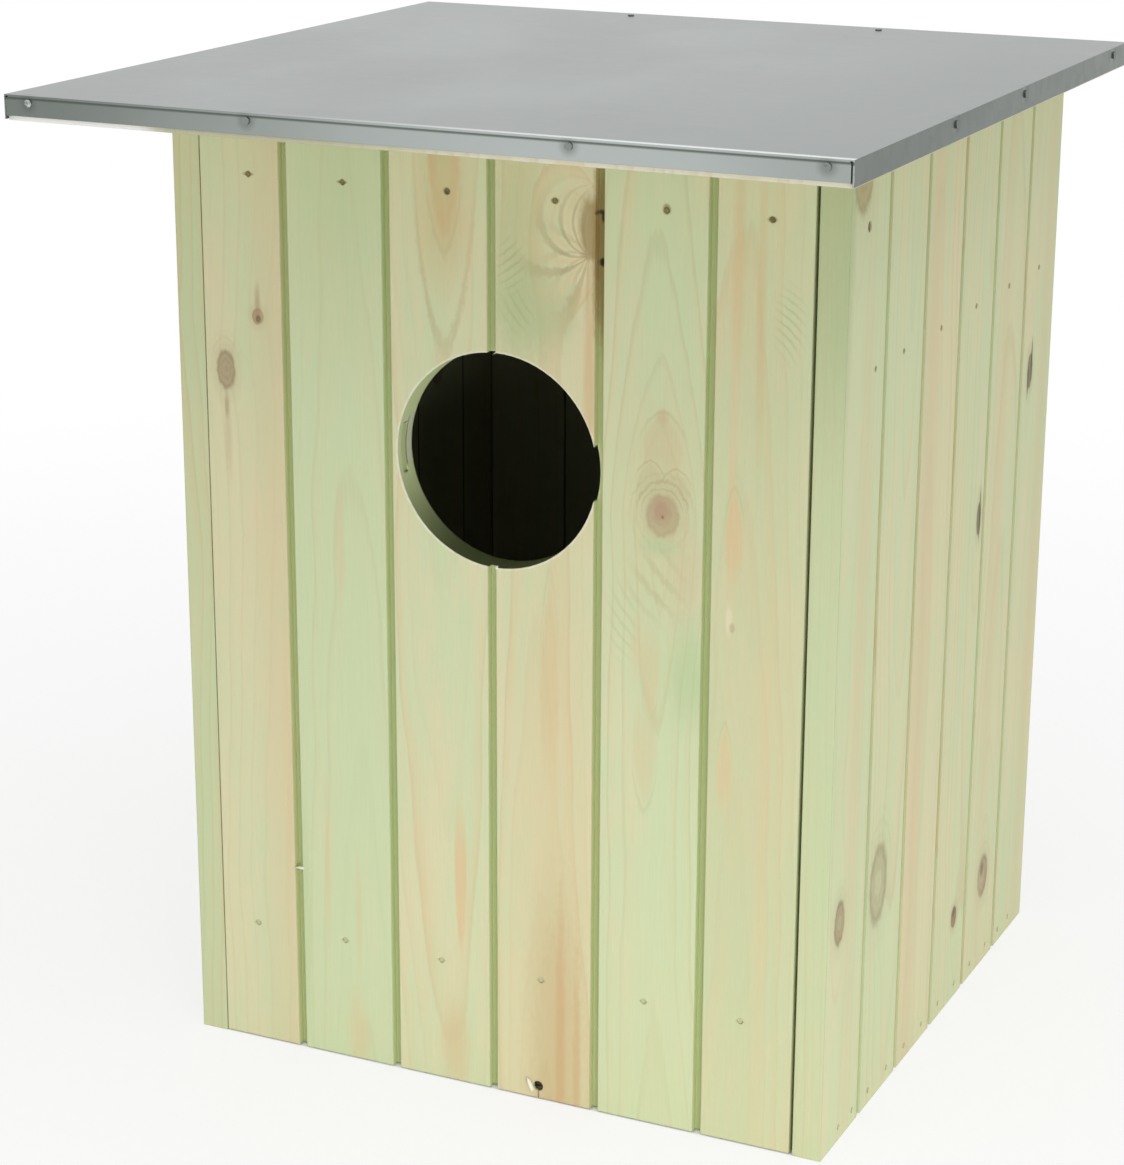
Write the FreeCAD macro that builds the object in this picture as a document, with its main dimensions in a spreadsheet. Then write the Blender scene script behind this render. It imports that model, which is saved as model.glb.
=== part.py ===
import FreeCAD, Part
import os

import Sketcher
from FreeCAD import Placement, Rotation, Vector

# An owl nest box of vertical tongue-and-groove boards under a flat sheet-metal roof.
# +X is to the right seen from the front, +Y to the back and +Z up. The origin lies
# on the ground below the middle of the roof. All sizes are in millimetres.

DIMENSIONS = {
    # The box: side walls from front to back, other walls between them
    "outer_width": 429.0,
    "side_depth": 406.0,
    "wall_height": 604.0,
    # Section of one tongue-and-groove board
    "board_thickness": 18.0,
    "board_cover": 68.5,
    "reveal_width": 5.5,
    "front_lip": 5.0,
    "tongue_thickness": 4.6,
    "tongue_reach": 4.2,
    "tongue_clearance": 0.2,
    "groove_depth": 5.2,
    "narrowest_board": 26.0,
    "side_joint_shift": 2.5,
    # The swinging front and its pivot, measured down from the wall tops
    "door_gap_left": 0.7,
    "door_gap_right": 2.3,
    "door_gap_bottom": 1.0,
    "door_gap_floor": 0.5,
    "door_gap_top": 15.0,
    "pivot_drop": 45.5,
    "pivot_diameter": 4.0,
    "pivot_clearance": 0.05,
    "pivot_reach": 20.0,
    "pivot_head_diameter": 6.0,
    "pivot_head_height": 1.5,
    "pivot_sink": 0.8,
    # Round entrance through the front
    "entrance_diameter": 130.0,
    "entrance_level": 406.8,
    # Battens nailed across the inside of the boards
    "batten_width": 45.0,
    "batten_thickness": 25.0,
    "bottom_batten_level": 81.0,
    "side_batten_drop": 129.5,
    "side_batten_setback": 24.0,
    # Wire nails that hold boards, battens, floor and roof board
    "nail_length": 35.0,
    "nail_diameter": 2.0,
    "nail_head_diameter": 3.6,
    "nail_head_height": 0.8,
    "nail_sink": 1.2,
    "nail_clearance": 0.05,
    "nail_tip_gap": 0.5,
    "door_nail_rise": 5.0,
    "door_top_nail_shift": 3.5,
    "door_bottom_nail_shift": -4.5,
    "side_first_nail_inset": 19.5,
    "side_nail_shift": -5.0,
    # Screw that locks the front to the floor
    "lock_offset": 28.0,
    "lock_diameter": 3.5,
    "lock_length": 45.0,
    "lock_head_diameter": 6.0,
    "lock_head_height": 2.4,
    "lock_sink": 1.2,
    "lock_clearance": 0.3,
    "lock_floor_clearance": 0.6,
    "lock_slot_width": 0.9,
    "lock_slot_depth": 1.1,
    # Holes through the back wall for fixing the box to a tree or wall
    "fixing_diameter": 6.5,
    "fixing_spacing_across": 240.0,
    "fixing_spacing_up": 400.0,
    # Roof board and the folded sheet over it
    "roof_side_overhang": 40.0,
    "roof_front_overhang": 111.0,
    "roof_board_thickness": 14.0,
    "sheet_thickness": 0.8,
    "side_flange_drop": 14.0,
    "front_flange_drop": 12.2,
    "front_hem_depth": 1.8,
    "hem_corner_gap": 1.6,
    # Small nails of the roof sheet
    "sheet_nail_length": 20.0,
    "sheet_nail_diameter": 1.8,
    "sheet_nail_head_diameter": 4.4,
    "sheet_nail_head_height": 0.8,
    "sheet_nail_drop": 4.6,
    "front_sheet_nail_inset": 15.0,
    "front_sheet_nail_pitch": 194.0,
    "side_sheet_nail_first": 163.0,
    "side_sheet_nail_second": 292.0,
    "side_sheet_nail_last": 32.0,
    "back_sheet_nail_inset": 14.0,
    "back_sheet_nail_pitch": 180.0,
}


class Length:
    """A length that carries its value and the sheet expression that gives it."""

    def __init__(self, text, value):
        self.text = text
        self.value = value

    def joined(self, sign, other, value):
        return Length(f"({self.text} {sign} {other.text})", value)

    def __add__(self, other):
        other = as_length(other)
        return self.joined("+", other, self.value + other.value)

    def __sub__(self, other):
        other = as_length(other)
        return self.joined("-", other, self.value - other.value)

    def __mul__(self, factor):
        return Length(f"({self.text} * {factor})", self.value * factor)

    def __rmul__(self, factor):
        return self * factor

    def __truediv__(self, divisor):
        return Length(f"({self.text} / {divisor})", self.value / divisor)

    def __neg__(self):
        return self * -1


def as_length(number):
    return number if isinstance(number, Length) else Length(str(number), float(number))


class Face:
    """A flat side of the box: local x runs along it, local y goes inward from it."""

    def __init__(self, along, inward, origin):
        self.axes = (Vector(along), Vector(inward), Vector(along).cross(Vector(inward)))
        self.origin = origin

    def point(self, run, depth, rise):
        """Row coordinates of a point given in the face's own directions."""
        place = []
        for axis in range(3):
            coordinate = as_length(self.origin[axis])
            for part, direction in zip((run, depth, rise), self.axes):
                if direction[axis]:
                    coordinate = coordinate + as_length(part) * int(direction[axis])
            place.append(coordinate)
        return place


doc = FreeCAD.newDocument("owl_nest_box")
sheet = doc.addObject("Spreadsheet::Sheet", "sizes")
size = {}
for row, (alias, number) in enumerate(DIMENSIONS.items(), start=1):
    sheet.set(f"A{row}", alias)
    sheet.set(f"B{row}", str(number))
    sheet.setAlias(f"B{row}", alias)
    size[alias] = Length(f"sizes.{alias}", number)
doc.recompute()

nodes = []


def bind(item, prop, length):
    item.setExpression(prop, as_length(length).text)


def place(item, face, run=0, depth=0, rise=0):
    """Turn an object to a face and bind its place there to the sheet."""
    item.Placement = Placement(Vector(), Rotation(*face.axes))
    for axis, coordinate in zip("xyz", face.point(run, depth, rise)):
        bind(item, f"Placement.Base.{axis}", coordinate)


def node(item, label):
    item.Label = label
    nodes.append(item)
    return item


def sketch_on(body, role, name):
    sketch = body.newObject("Sketcher::SketchObject", name)
    plane = next(part for part in body.Origin.OriginFeatures if part.Role == role)
    sketch.AttachmentSupport = [(plane, "")]
    sketch.MapMode = "FlatFace"
    return sketch


def fix_point(sketch, geometry, position, x, y):
    """Hold one sketch point at a bound distance from the sketch's origin."""
    for direction, length in (("DistanceX", as_length(x)), ("DistanceY", as_length(y))):
        index = sketch.addConstraint(
            Sketcher.Constraint(direction, -1, 1, geometry, position, length.value))
        bind(sketch, f"Constraints[{index}]", length)


def outline(sketch, corners):
    """Closed outline of straight edges through corners given as pairs of lengths."""
    points = [Vector(as_length(x).value, as_length(y).value, 0) for x, y in corners]
    count = len(points)
    for index in range(count):
        sketch.addGeometry(Part.LineSegment(points[index], points[(index + 1) % count]), False)
    for index in range(count):
        sketch.addConstraint(
            Sketcher.Constraint("Coincident", index, 2, (index + 1) % count, 1))
    for index, (x, y) in enumerate(corners):
        fix_point(sketch, index, 1, x, y)


def circles(sketch, centres, diameter):
    """Equal circles around centres given as pairs of lengths."""
    for x, y in centres:
        centre = Vector(as_length(x).value, as_length(y).value, 0)
        circle = sketch.addGeometry(
            Part.Circle(centre, Vector(0, 0, 1), diameter.value / 2), False)
        fix_point(sketch, circle, 3, x, y)
        index = sketch.addConstraint(Sketcher.Constraint("Diameter", circle, diameter.value))
        bind(sketch, f"Constraints[{index}]", diameter)


def pad(body, sketch, length, reverse=False):
    feature = body.newObject("PartDesign::Pad", sketch.Name + "_pad")
    feature.Profile = sketch
    feature.Reversed = reverse
    bind(feature, "Length", length)


def pins(name, face, centres, depth, diameter, length, head_diameter=None, head_height=None):
    """Round pins driven into a face, with heads at their outer ends."""
    body = doc.addObject("PartDesign::Body", name)
    shanks = sketch_on(body, "XZ_Plane", name + "_shanks")
    circles(shanks, centres, diameter)
    pad(body, shanks, length, reverse=True)
    if head_diameter is not None:
        heads = sketch_on(body, "XZ_Plane", name + "_heads")
        circles(heads, centres, head_diameter)
        pad(body, heads, head_height, reverse=True)
    place(body, face, depth=depth)
    return body


def group(name, members):
    compound = doc.addObject("Part::Compound", name)
    compound.Links = members
    return compound


def drilled(label, blank, cutter):
    """A piece with everything cut away that a cutter takes from its blank."""
    cut = doc.addObject("Part::Cut", label)
    cut.Base = blank
    cut.Tool = cutter
    return node(cut, label)


def block(name, low, high):
    """A squared piece between two opposite corners."""
    box = doc.addObject("Part::Box", name)
    for prop, axis in (("Length", 0), ("Width", 1), ("Height", 2)):
        bind(box, prop, high[axis] - low[axis])
        bind(box, f"Placement.Base.{'xyz'[axis]}", low[axis])
    return box


def section(cover, groove, tongue):
    """Corners of a board's section: outer face on y = 0, tongue on the far edge."""
    thickness = size["board_thickness"]
    shoulder = size["front_lip"]
    tongue_back = shoulder + size["tongue_thickness"]
    slack = size["tongue_clearance"]
    bottom = size["groove_depth"]
    corners = [(0, 0)]
    if tongue:
        face_end = cover - size["reveal_width"]
        tip = cover + size["tongue_reach"]
        corners += [(face_end, 0), (face_end, shoulder), (tip, shoulder)]
        corners += [(tip, tongue_back), (cover, tongue_back), (cover, thickness)]
    else:
        corners += [(cover, 0), (cover, thickness)]
    corners.append((0, thickness))
    if groove:
        corners += [(0, tongue_back + slack), (bottom, tongue_back + slack)]
        corners += [(bottom, shoulder - slack), (0, shoulder - slack)]
    return corners


def edges(low, high, joint):
    """Board edges across a wall: its two ends and every joint between them."""
    margin = size["narrowest_board"].value
    step = size["board_cover"]
    reach = int((high.value - low.value) / step.value) + 1
    joints = [joint + step * index for index in range(-reach, reach + 1)]
    inside = [spot for spot in joints if low.value + margin < spot.value < high.value - margin]
    return [low] + sorted(inside, key=lambda spot: spot.value) + [high]


def boards(prefix, face, wall_edges, foot, length, cutter, backwards=False):
    """A wall of boards that stand side by side between the given edges."""
    spans = list(zip(wall_edges[:-1], wall_edges[1:]))
    for index, (start, end) in enumerate(spans):
        number = len(spans) - index if backwards else index + 1
        label = f"{prefix}_board_{number}"
        blank = doc.addObject("PartDesign::Body", label + "_blank")
        profile = sketch_on(blank, "XY_Plane", label + "_section")
        outline(profile, section(end - start, index > 0, index < len(spans) - 1))
        pad(blank, profile, length)
        place(blank, face, run=start, rise=foot)
        drilled(label, blank, cutter)


def middles(wall_edges):
    return [(start + end) / 2 for start, end in zip(wall_edges[:-1], wall_edges[1:])]


def nails(name, face, centres):
    """Sunk wire nails and the cutter for the holes that they fill."""
    slack = 2 * size["nail_clearance"]
    sink = size["nail_sink"]
    group_of_nails = pins(
        name, face, centres, sink, size["nail_diameter"], size["nail_length"],
        size["nail_head_diameter"], size["nail_head_height"])
    holes = pins(
        name + "_holes", face, centres, 0, size["nail_diameter"] + slack,
        sink + size["nail_length"] + size["nail_tip_gap"],
        size["nail_head_diameter"] + slack, sink + size["nail_head_height"])
    return group_of_nails, holes


def sheet_nails(name, face, centres):
    """Roof sheet nails with their heads on the sheet, and the cutter for their holes."""
    slack = 2 * size["nail_clearance"]
    head_height = size["sheet_nail_head_height"]
    length = size["sheet_nail_length"]
    group_of_nails = pins(
        name, face, centres, -head_height, size["sheet_nail_diameter"], length + head_height,
        size["sheet_nail_head_diameter"], head_height)
    holes = pins(
        name + "_holes", face, centres, 0, size["sheet_nail_diameter"] + slack,
        length + size["nail_tip_gap"])
    return group_of_nails, holes


# Levels and places that several pieces share
thickness = size["board_thickness"]
wall_top = size["wall_height"]
half_width = size["outer_width"] / 2
inner_half = half_width - thickness
front_y = (size["roof_front_overhang"] - size["side_depth"]) / 2
back_y = front_y + size["side_depth"]
floor_front = thickness + size["door_gap_floor"]
floor_depth = size["side_depth"] - thickness - floor_front
floor_middle = thickness / 2
batten_half = size["batten_width"] / 2
batten_middle = thickness + size["batten_thickness"] / 2
pivot_level = wall_top - size["pivot_drop"]
side_batten_level = wall_top - size["side_batten_drop"]
door_left = -inner_half + size["door_gap_left"]
door_right = inner_half - size["door_gap_right"]
door_foot = size["door_gap_bottom"]
door_length = wall_top - size["door_gap_top"] - door_foot

front = Face((1, 0, 0), (0, 1, 0), (0, front_y, 0))
right = Face((0, 1, 0), (-1, 0, 0), (half_width, front_y, 0))
left = Face((0, -1, 0), (1, 0, 0), (-half_width, back_y, 0))
back = Face((-1, 0, 0), (0, -1, 0), (0, back_y, 0))
underside = Face((0, 1, 0), (0, 0, 1), (-inner_half, front_y + floor_front, 0))

middle = as_length(0)
side_joint = size["side_depth"] / 2 + size["side_joint_shift"]
front_edges = edges(door_left, door_right, middle)
back_edges = edges(-inner_half, inner_half, middle)
right_edges = edges(as_length(0), size["side_depth"], side_joint)
left_edges = edges(as_length(0), size["side_depth"], size["side_depth"] - side_joint)
floor_edges = edges(as_length(0), floor_depth, floor_depth / 2)

# Nails of the front: one per board through each of its two battens, above the pivot at the top
door_nail_level = pivot_level + size["door_nail_rise"]
door_centres = [
    (run + size["door_top_nail_shift"], door_nail_level) for run in middles(front_edges)]
door_centres += [
    (run + size["door_bottom_nail_shift"], size["bottom_batten_level"])
    for run in middles(front_edges)]
front_nails, front_nail_holes = nails("front_nails", front, door_centres)
node(front_nails, "front_nails")

# Nails of the side walls: one row into the battens, and two nails into the end of each
# floor board, at its quarter points
upper_runs = [right_edges[1] - size["side_first_nail_inset"]]
upper_runs += [run + size["side_nail_shift"] for run in middles(right_edges)[1:]]
floor_runs = []
for start, end in zip(floor_edges[:-1], floor_edges[1:]):
    quarter = (end - start) / 4
    floor_runs += [floor_front + start + quarter, floor_front + end - quarter]
side_centres = [(run, side_batten_level) for run in upper_runs]
side_centres += [(run, floor_middle) for run in floor_runs]
right_nails, right_nail_holes = nails("right_nails", right, side_centres)
node(right_nails, "right_nails")
left_centres = [(size["side_depth"] - run, level) for run, level in side_centres]
left_nails, left_nail_holes = nails("left_nails", left, left_centres)
node(left_nails, "left_nails")

# Nails of the back wall: into its batten and into the back edge of the floor
back_centres = [
    (run, level) for level in (side_batten_level, floor_middle) for run in middles(back_edges)]
back_nails, back_nail_holes = nails("back_nails", back, back_centres)
node(back_nails, "back_nails")

# Nails of the roof board: down into every second side board and two back boards
roof_bottom = wall_top
roof_board_top = roof_bottom + size["roof_board_thickness"]
roof_top = roof_board_top + size["sheet_thickness"]
roof_face = Face((1, 0, 0), (0, 0, -1), (0, front_y, roof_board_top))
wall_line = half_width - thickness / 2
roof_centres = [
    (line, run) for line in (-wall_line, wall_line) for run in middles(right_edges)[::2]]
back_line = size["side_depth"] - thickness / 2
roof_centres += [
    (-run, back_line) for run in (middles(back_edges)[1], middles(back_edges)[-2])]
roof_board_nails, roof_board_nail_holes = nails("roof_board_nails", roof_face, roof_centres)
node(roof_board_nails, "roof_board_nails")

# Pivot pins: fixed in the foremost side boards, reaching into the ends of the top batten
pivot_slack = 2 * size["pivot_clearance"]
pivot_length = thickness + size["pivot_reach"] - size["pivot_sink"]
pivot_holes = {}
for label, face, run in (("right_pivot_pin", right, batten_middle),
                         ("left_pivot_pin", left, size["side_depth"] - batten_middle)):
    centre = [(run, pivot_level)]
    node(pins(label, face, centre, size["pivot_sink"], size["pivot_diameter"], pivot_length,
              size["pivot_head_diameter"], size["pivot_head_height"]), label)
    pivot_holes[label] = pins(
        label + "_hole", face, centre, 0, size["pivot_diameter"] + pivot_slack,
        size["pivot_sink"] + pivot_length + size["nail_tip_gap"],
        size["pivot_head_diameter"] + pivot_slack,
        size["pivot_sink"] + size["pivot_head_height"])

# Lock screw: through the foot of the front into the front edge of the floor
lock_centre = [(size["lock_offset"], floor_middle)]
lock_blank = pins(
    "lock_screw_blank", front, lock_centre, size["lock_sink"], size["lock_diameter"],
    size["lock_length"], size["lock_head_diameter"], size["lock_head_height"])
lock_half_slot = size["lock_slot_width"] / 2
lock_slot = block(
    "lock_slot",
    (size["lock_offset"] - size["lock_head_diameter"], front_y,
     floor_middle - lock_half_slot),
    (size["lock_offset"] + size["lock_head_diameter"],
     front_y + size["lock_sink"] + size["lock_slot_depth"], floor_middle + lock_half_slot))
drilled("lock_screw", lock_blank, lock_slot)
lock_slack = 2 * size["lock_clearance"]
lock_front_hole = pins(
    "lock_front_hole", front, lock_centre, 0, size["lock_diameter"] + lock_slack, thickness,
    size["lock_head_diameter"] + lock_slack, size["lock_sink"] + size["lock_head_height"])
lock_floor_hole = pins(
    "lock_floor_hole", front, lock_centre, thickness,
    size["lock_diameter"] + 2 * size["lock_floor_clearance"],
    size["lock_sink"] + size["lock_length"] - thickness + size["lock_floor_clearance"])

# Cutters for the entrance and for the fixing holes of the back wall
entrance = pins(
    "entrance", front, [(0, size["entrance_level"])], 0, size["entrance_diameter"], thickness)
fixing_half = size["fixing_spacing_across"] / 2
fixing_low = side_batten_level - size["fixing_spacing_up"]
fixing_holes = pins(
    "fixing_holes", back,
    [(side * fixing_half, level) for level in (fixing_low, side_batten_level)
     for side in (-1, 1)],
    0, size["fixing_diameter"], thickness + size["batten_thickness"])

# Roof sheet nails: along the front, along both sides and two on top near the back
roof_half = half_width + size["roof_side_overhang"]
roof_front = front_y - size["roof_front_overhang"]
flange_front = roof_front + size["front_hem_depth"]
nail_level = roof_top - size["sheet_nail_drop"]
front_flange = Face((1, 0, 0), (0, 1, 0), (0, flange_front, 0))
right_flange = Face((0, 1, 0), (-1, 0, 0), (roof_half, roof_front, 0))
left_flange = Face((0, -1, 0), (1, 0, 0), (-roof_half, roof_front, 0))
sheet_top = Face((1, 0, 0), (0, 0, -1), (0, back_y, roof_top))
outer_nail = roof_half - size["front_sheet_nail_inset"]
inner_nail = size["front_sheet_nail_pitch"] / 2
roof_length = back_y - roof_front
side_runs = [
    size["side_sheet_nail_first"], size["side_sheet_nail_second"],
    roof_length - size["side_sheet_nail_last"]]
back_nail = size["back_sheet_nail_pitch"] / 2
sheet_nail_sets = [
    sheet_nails("front_sheet_nails", front_flange,
                [(run, nail_level) for run in (-outer_nail, -inner_nail, inner_nail, outer_nail)]),
    sheet_nails("right_sheet_nails", right_flange, [(run, nail_level) for run in side_runs]),
    sheet_nails("left_sheet_nails", left_flange, [(-run, nail_level) for run in side_runs]),
    sheet_nails("top_sheet_nails", sheet_top,
                [(side * back_nail, -size["back_sheet_nail_inset"]) for side in (-1, 1)]),
]
node(group("roof_sheet_nails", [pair[0] for pair in sheet_nail_sets]), "roof_sheet_nails")
sheet_holes = group("sheet_holes", [pair[1] for pair in sheet_nail_sets])

# The swinging front: boards on a top and a bottom batten
front_cutter = group("front_cutter", [front_nail_holes, entrance, lock_front_hole])
boards("front", front, front_edges, door_foot, door_length, front_cutter)
door_batten_cutter = group(
    "door_batten_cutter", [front_nail_holes] + list(pivot_holes.values()))
batten_front = front_y + thickness
batten_back = batten_front + size["batten_thickness"]
for label, level in (("front_top_batten", pivot_level),
                     ("front_bottom_batten", size["bottom_batten_level"])):
    blank = block(
        label + "_blank", (door_left, batten_front, level - batten_half),
        (door_right, batten_back, level + batten_half))
    drilled(label, blank, door_batten_cutter)

# Side walls, each with a batten from behind the front to the back wall
side_low = side_batten_level - batten_half
side_high = side_batten_level + batten_half
side_front = front_y + size["side_batten_setback"]
side_back = back_y - thickness
batten_inner = inner_half - size["batten_thickness"]
right_cutter = group(
    "right_cutter", [right_nail_holes, roof_board_nail_holes, pivot_holes["right_pivot_pin"]])
boards("right", right, right_edges, 0, wall_top, right_cutter)
right_batten_blank = block(
    "right_batten_blank", (batten_inner, side_front, side_low),
    (inner_half, side_back, side_high))
right_batten_cutter = group("right_batten_cutter", [right_nail_holes, back_nail_holes])
drilled("right_batten", right_batten_blank, right_batten_cutter)
left_cutter = group(
    "left_cutter", [left_nail_holes, roof_board_nail_holes, pivot_holes["left_pivot_pin"]])
boards("left", left, left_edges, 0, wall_top, left_cutter, backwards=True)
left_batten_blank = block(
    "left_batten_blank", (-inner_half, side_front, side_low),
    (-batten_inner, side_back, side_high))
left_batten_cutter = group("left_batten_cutter", [left_nail_holes, back_nail_holes])
drilled("left_batten", left_batten_blank, left_batten_cutter)

# Back wall, with a batten between those of the side walls
back_cutter = group(
    "back_cutter", [back_nail_holes, roof_board_nail_holes, fixing_holes, sheet_holes])
boards("back", back, back_edges, 0, wall_top, back_cutter)
back_batten_blank = block(
    "back_batten_blank", (-batten_inner, side_back - size["batten_thickness"], side_low),
    (batten_inner, side_back, side_high))
back_batten_cutter = group("back_batten_cutter", [back_nail_holes, fixing_holes])
drilled("back_batten", back_batten_blank, back_batten_cutter)

# Floor boards from side to side
floor_cutter = group(
    "floor_cutter", [right_nail_holes, left_nail_holes, back_nail_holes, lock_floor_hole])
boards("floor", underside, floor_edges, 0, inner_half * 2, floor_cutter)

# Roof board, then the sheet over it with a hemmed front edge and three flanges
sheet_thickness = size["sheet_thickness"]
board_half = roof_half - sheet_thickness
board_front = flange_front + sheet_thickness
roof_cutter = group("roof_cutter", [roof_board_nail_holes, sheet_holes])
roof_board_blank = block(
    "roof_board_blank", (-board_half, board_front, roof_bottom),
    (board_half, back_y, roof_board_top))
drilled("roof_board", roof_board_blank, roof_cutter)
hem_half = board_half - size["hem_corner_gap"]
hem_bottom = roof_board_top - sheet_thickness
flange_bottom = roof_top - size["side_flange_drop"]
sheet_blank = doc.addObject("Part::MultiFuse", "roof_sheet_blank")
sheet_blank.Shapes = [
    block("sheet_plate", (-roof_half, roof_front, roof_board_top),
          (roof_half, back_y, roof_top)),
    block("sheet_left_flange", (-roof_half, roof_front, flange_bottom),
          (-board_half, back_y, roof_board_top)),
    block("sheet_right_flange", (board_half, roof_front, flange_bottom),
          (roof_half, back_y, roof_board_top)),
    block("sheet_hem", (-hem_half, roof_front, hem_bottom),
          (hem_half, board_front, roof_board_top)),
    block("sheet_front_flange",
          (-hem_half, flange_front, roof_top - size["front_flange_drop"]),
          (hem_half, board_front, roof_board_top)),
]
sheet_blank.Refine = True
drilled("roof_sheet", sheet_blank, sheet_holes)

doc.recompute()

# Every object has to be sound before anything is written
for item in doc.Objects:
    if {"Invalid", "Error"} & set(item.State):
        raise RuntimeError(f"{item.Label} failed to build: {item.State}")
for item in nodes:
    if item.Shape.isNull() or not item.Shape.isValid() or not item.Shape.Solids:
        raise RuntimeError(f"{item.Label} has no sound shape")

os.makedirs("parts", exist_ok=True)
for item in nodes:
    item.Shape.exportStep(f"parts/{item.Label}.step")
print(f"{len(nodes)} pieces written")
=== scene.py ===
"""Looks of an owl nest box: treated pine boards under a folded galvanised roof sheet."""

from __future__ import annotations

import logging
import math
from dataclasses import dataclass, field
from enum import Enum

import bmesh
import bpy
from mathutils import Matrix, Vector


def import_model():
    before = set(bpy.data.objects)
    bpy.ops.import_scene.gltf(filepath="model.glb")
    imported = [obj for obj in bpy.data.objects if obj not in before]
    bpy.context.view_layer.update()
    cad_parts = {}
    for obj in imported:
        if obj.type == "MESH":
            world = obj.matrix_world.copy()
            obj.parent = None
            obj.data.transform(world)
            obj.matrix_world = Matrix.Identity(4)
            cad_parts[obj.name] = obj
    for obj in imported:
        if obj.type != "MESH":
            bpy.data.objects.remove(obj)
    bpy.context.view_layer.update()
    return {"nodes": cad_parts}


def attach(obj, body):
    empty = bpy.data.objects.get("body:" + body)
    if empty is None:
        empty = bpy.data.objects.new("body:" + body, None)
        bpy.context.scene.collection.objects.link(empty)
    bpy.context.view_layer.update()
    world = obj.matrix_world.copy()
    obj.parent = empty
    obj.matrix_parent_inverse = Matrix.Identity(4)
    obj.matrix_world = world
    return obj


LOG = logging.getLogger("owl_nest_box")
MM = 0.001
# Thickness and cover width of the boards, depth of the side walls and thickness of the sheet, in millimetres.
BOARD = 18.0
COVER = 68.5
SIDE_DEPTH = 406.0
SHEET = 0.8
# Corners of a torn sliver's section, in shares of its width and of half its thickness.
SLIVER = ((-0.5, 0.3), (0.0, 1.0), (0.5, 0.25), (0.42, -0.8), (-0.4, -1.0))
Colour = tuple[float, float, float, float]
Point = tuple[float, float, float]


def tone(red: int, green: int, blue: int) -> Colour:
    """Turn a tone seen on a screen into a linear colour.

    Args:
        red: Red from 0 to 255.
        green: Green from 0 to 255.
        blue: Blue from 0 to 255.

    Returns:
        The linear colour with full alpha.
    """
    parts = []
    for part in (red, green, blue):
        share = part / 255
        parts.append(share / 12.92 if share <= 0.04045 else ((share + 0.055) / 1.055) ** 2.4)
    return (parts[0], parts[1], parts[2], 1.0)


def spread(number: int, low: float, high: float) -> float:
    """Give a value between two limits that jumps about evenly from number to number."""
    return low + (high - low) * ((number * 0.618034) % 1.0)


def board_edges(start: float, first: float, end: float) -> tuple[float, ...]:
    """Give the edges of six boards that lie side by side.

    Args:
        start: The first board's outer edge.
        first: The first joint; the other four follow a board's cover apart.
        end: The last board's outer edge.

    Returns:
        The seven edges in order.
    """
    return (start, *(first + COVER * step for step in range(5)), end)


class Wire:
    """An output socket that can be used in Python arithmetic."""

    def __init__(self, bench: Bench, socket: bpy.types.NodeSocket) -> None:
        """Keep the socket and the bench that its Math nodes are added to."""
        self.bench = bench
        self.socket = socket

    def __add__(self, other: Wire | float) -> Wire:
        """Add."""
        return self.bench.math("ADD", self, other)

    def __radd__(self, other: float) -> Wire:
        """Add, with the wire on the right."""
        return self.bench.math("ADD", other, self)

    def __sub__(self, other: Wire | float) -> Wire:
        """Subtract."""
        return self.bench.math("SUBTRACT", self, other)

    def __rsub__(self, other: float) -> Wire:
        """Subtract, with the wire on the right."""
        return self.bench.math("SUBTRACT", other, self)

    def __mul__(self, other: Wire | float) -> Wire:
        """Multiply."""
        return self.bench.math("MULTIPLY", self, other)

    def __rmul__(self, other: float) -> Wire:
        """Multiply, with the wire on the right."""
        return self.bench.math("MULTIPLY", other, self)

    def __truediv__(self, other: Wire | float) -> Wire:
        """Divide."""
        return self.bench.math("DIVIDE", self, other)

    def __rtruediv__(self, other: float) -> Wire:
        """Divide, with the wire on the right."""
        return self.bench.math("DIVIDE", other, self)

    def rise(self, low: float, high: float) -> Wire:
        """Climb smoothly from 0 at one value to 1 at a higher one."""
        return self.bench.out("ShaderNodeMapRange", "Result", {"interpolation_type": "SMOOTHSTEP"},
                              {"Value": self, "From Min": low, "From Max": high})


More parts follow.
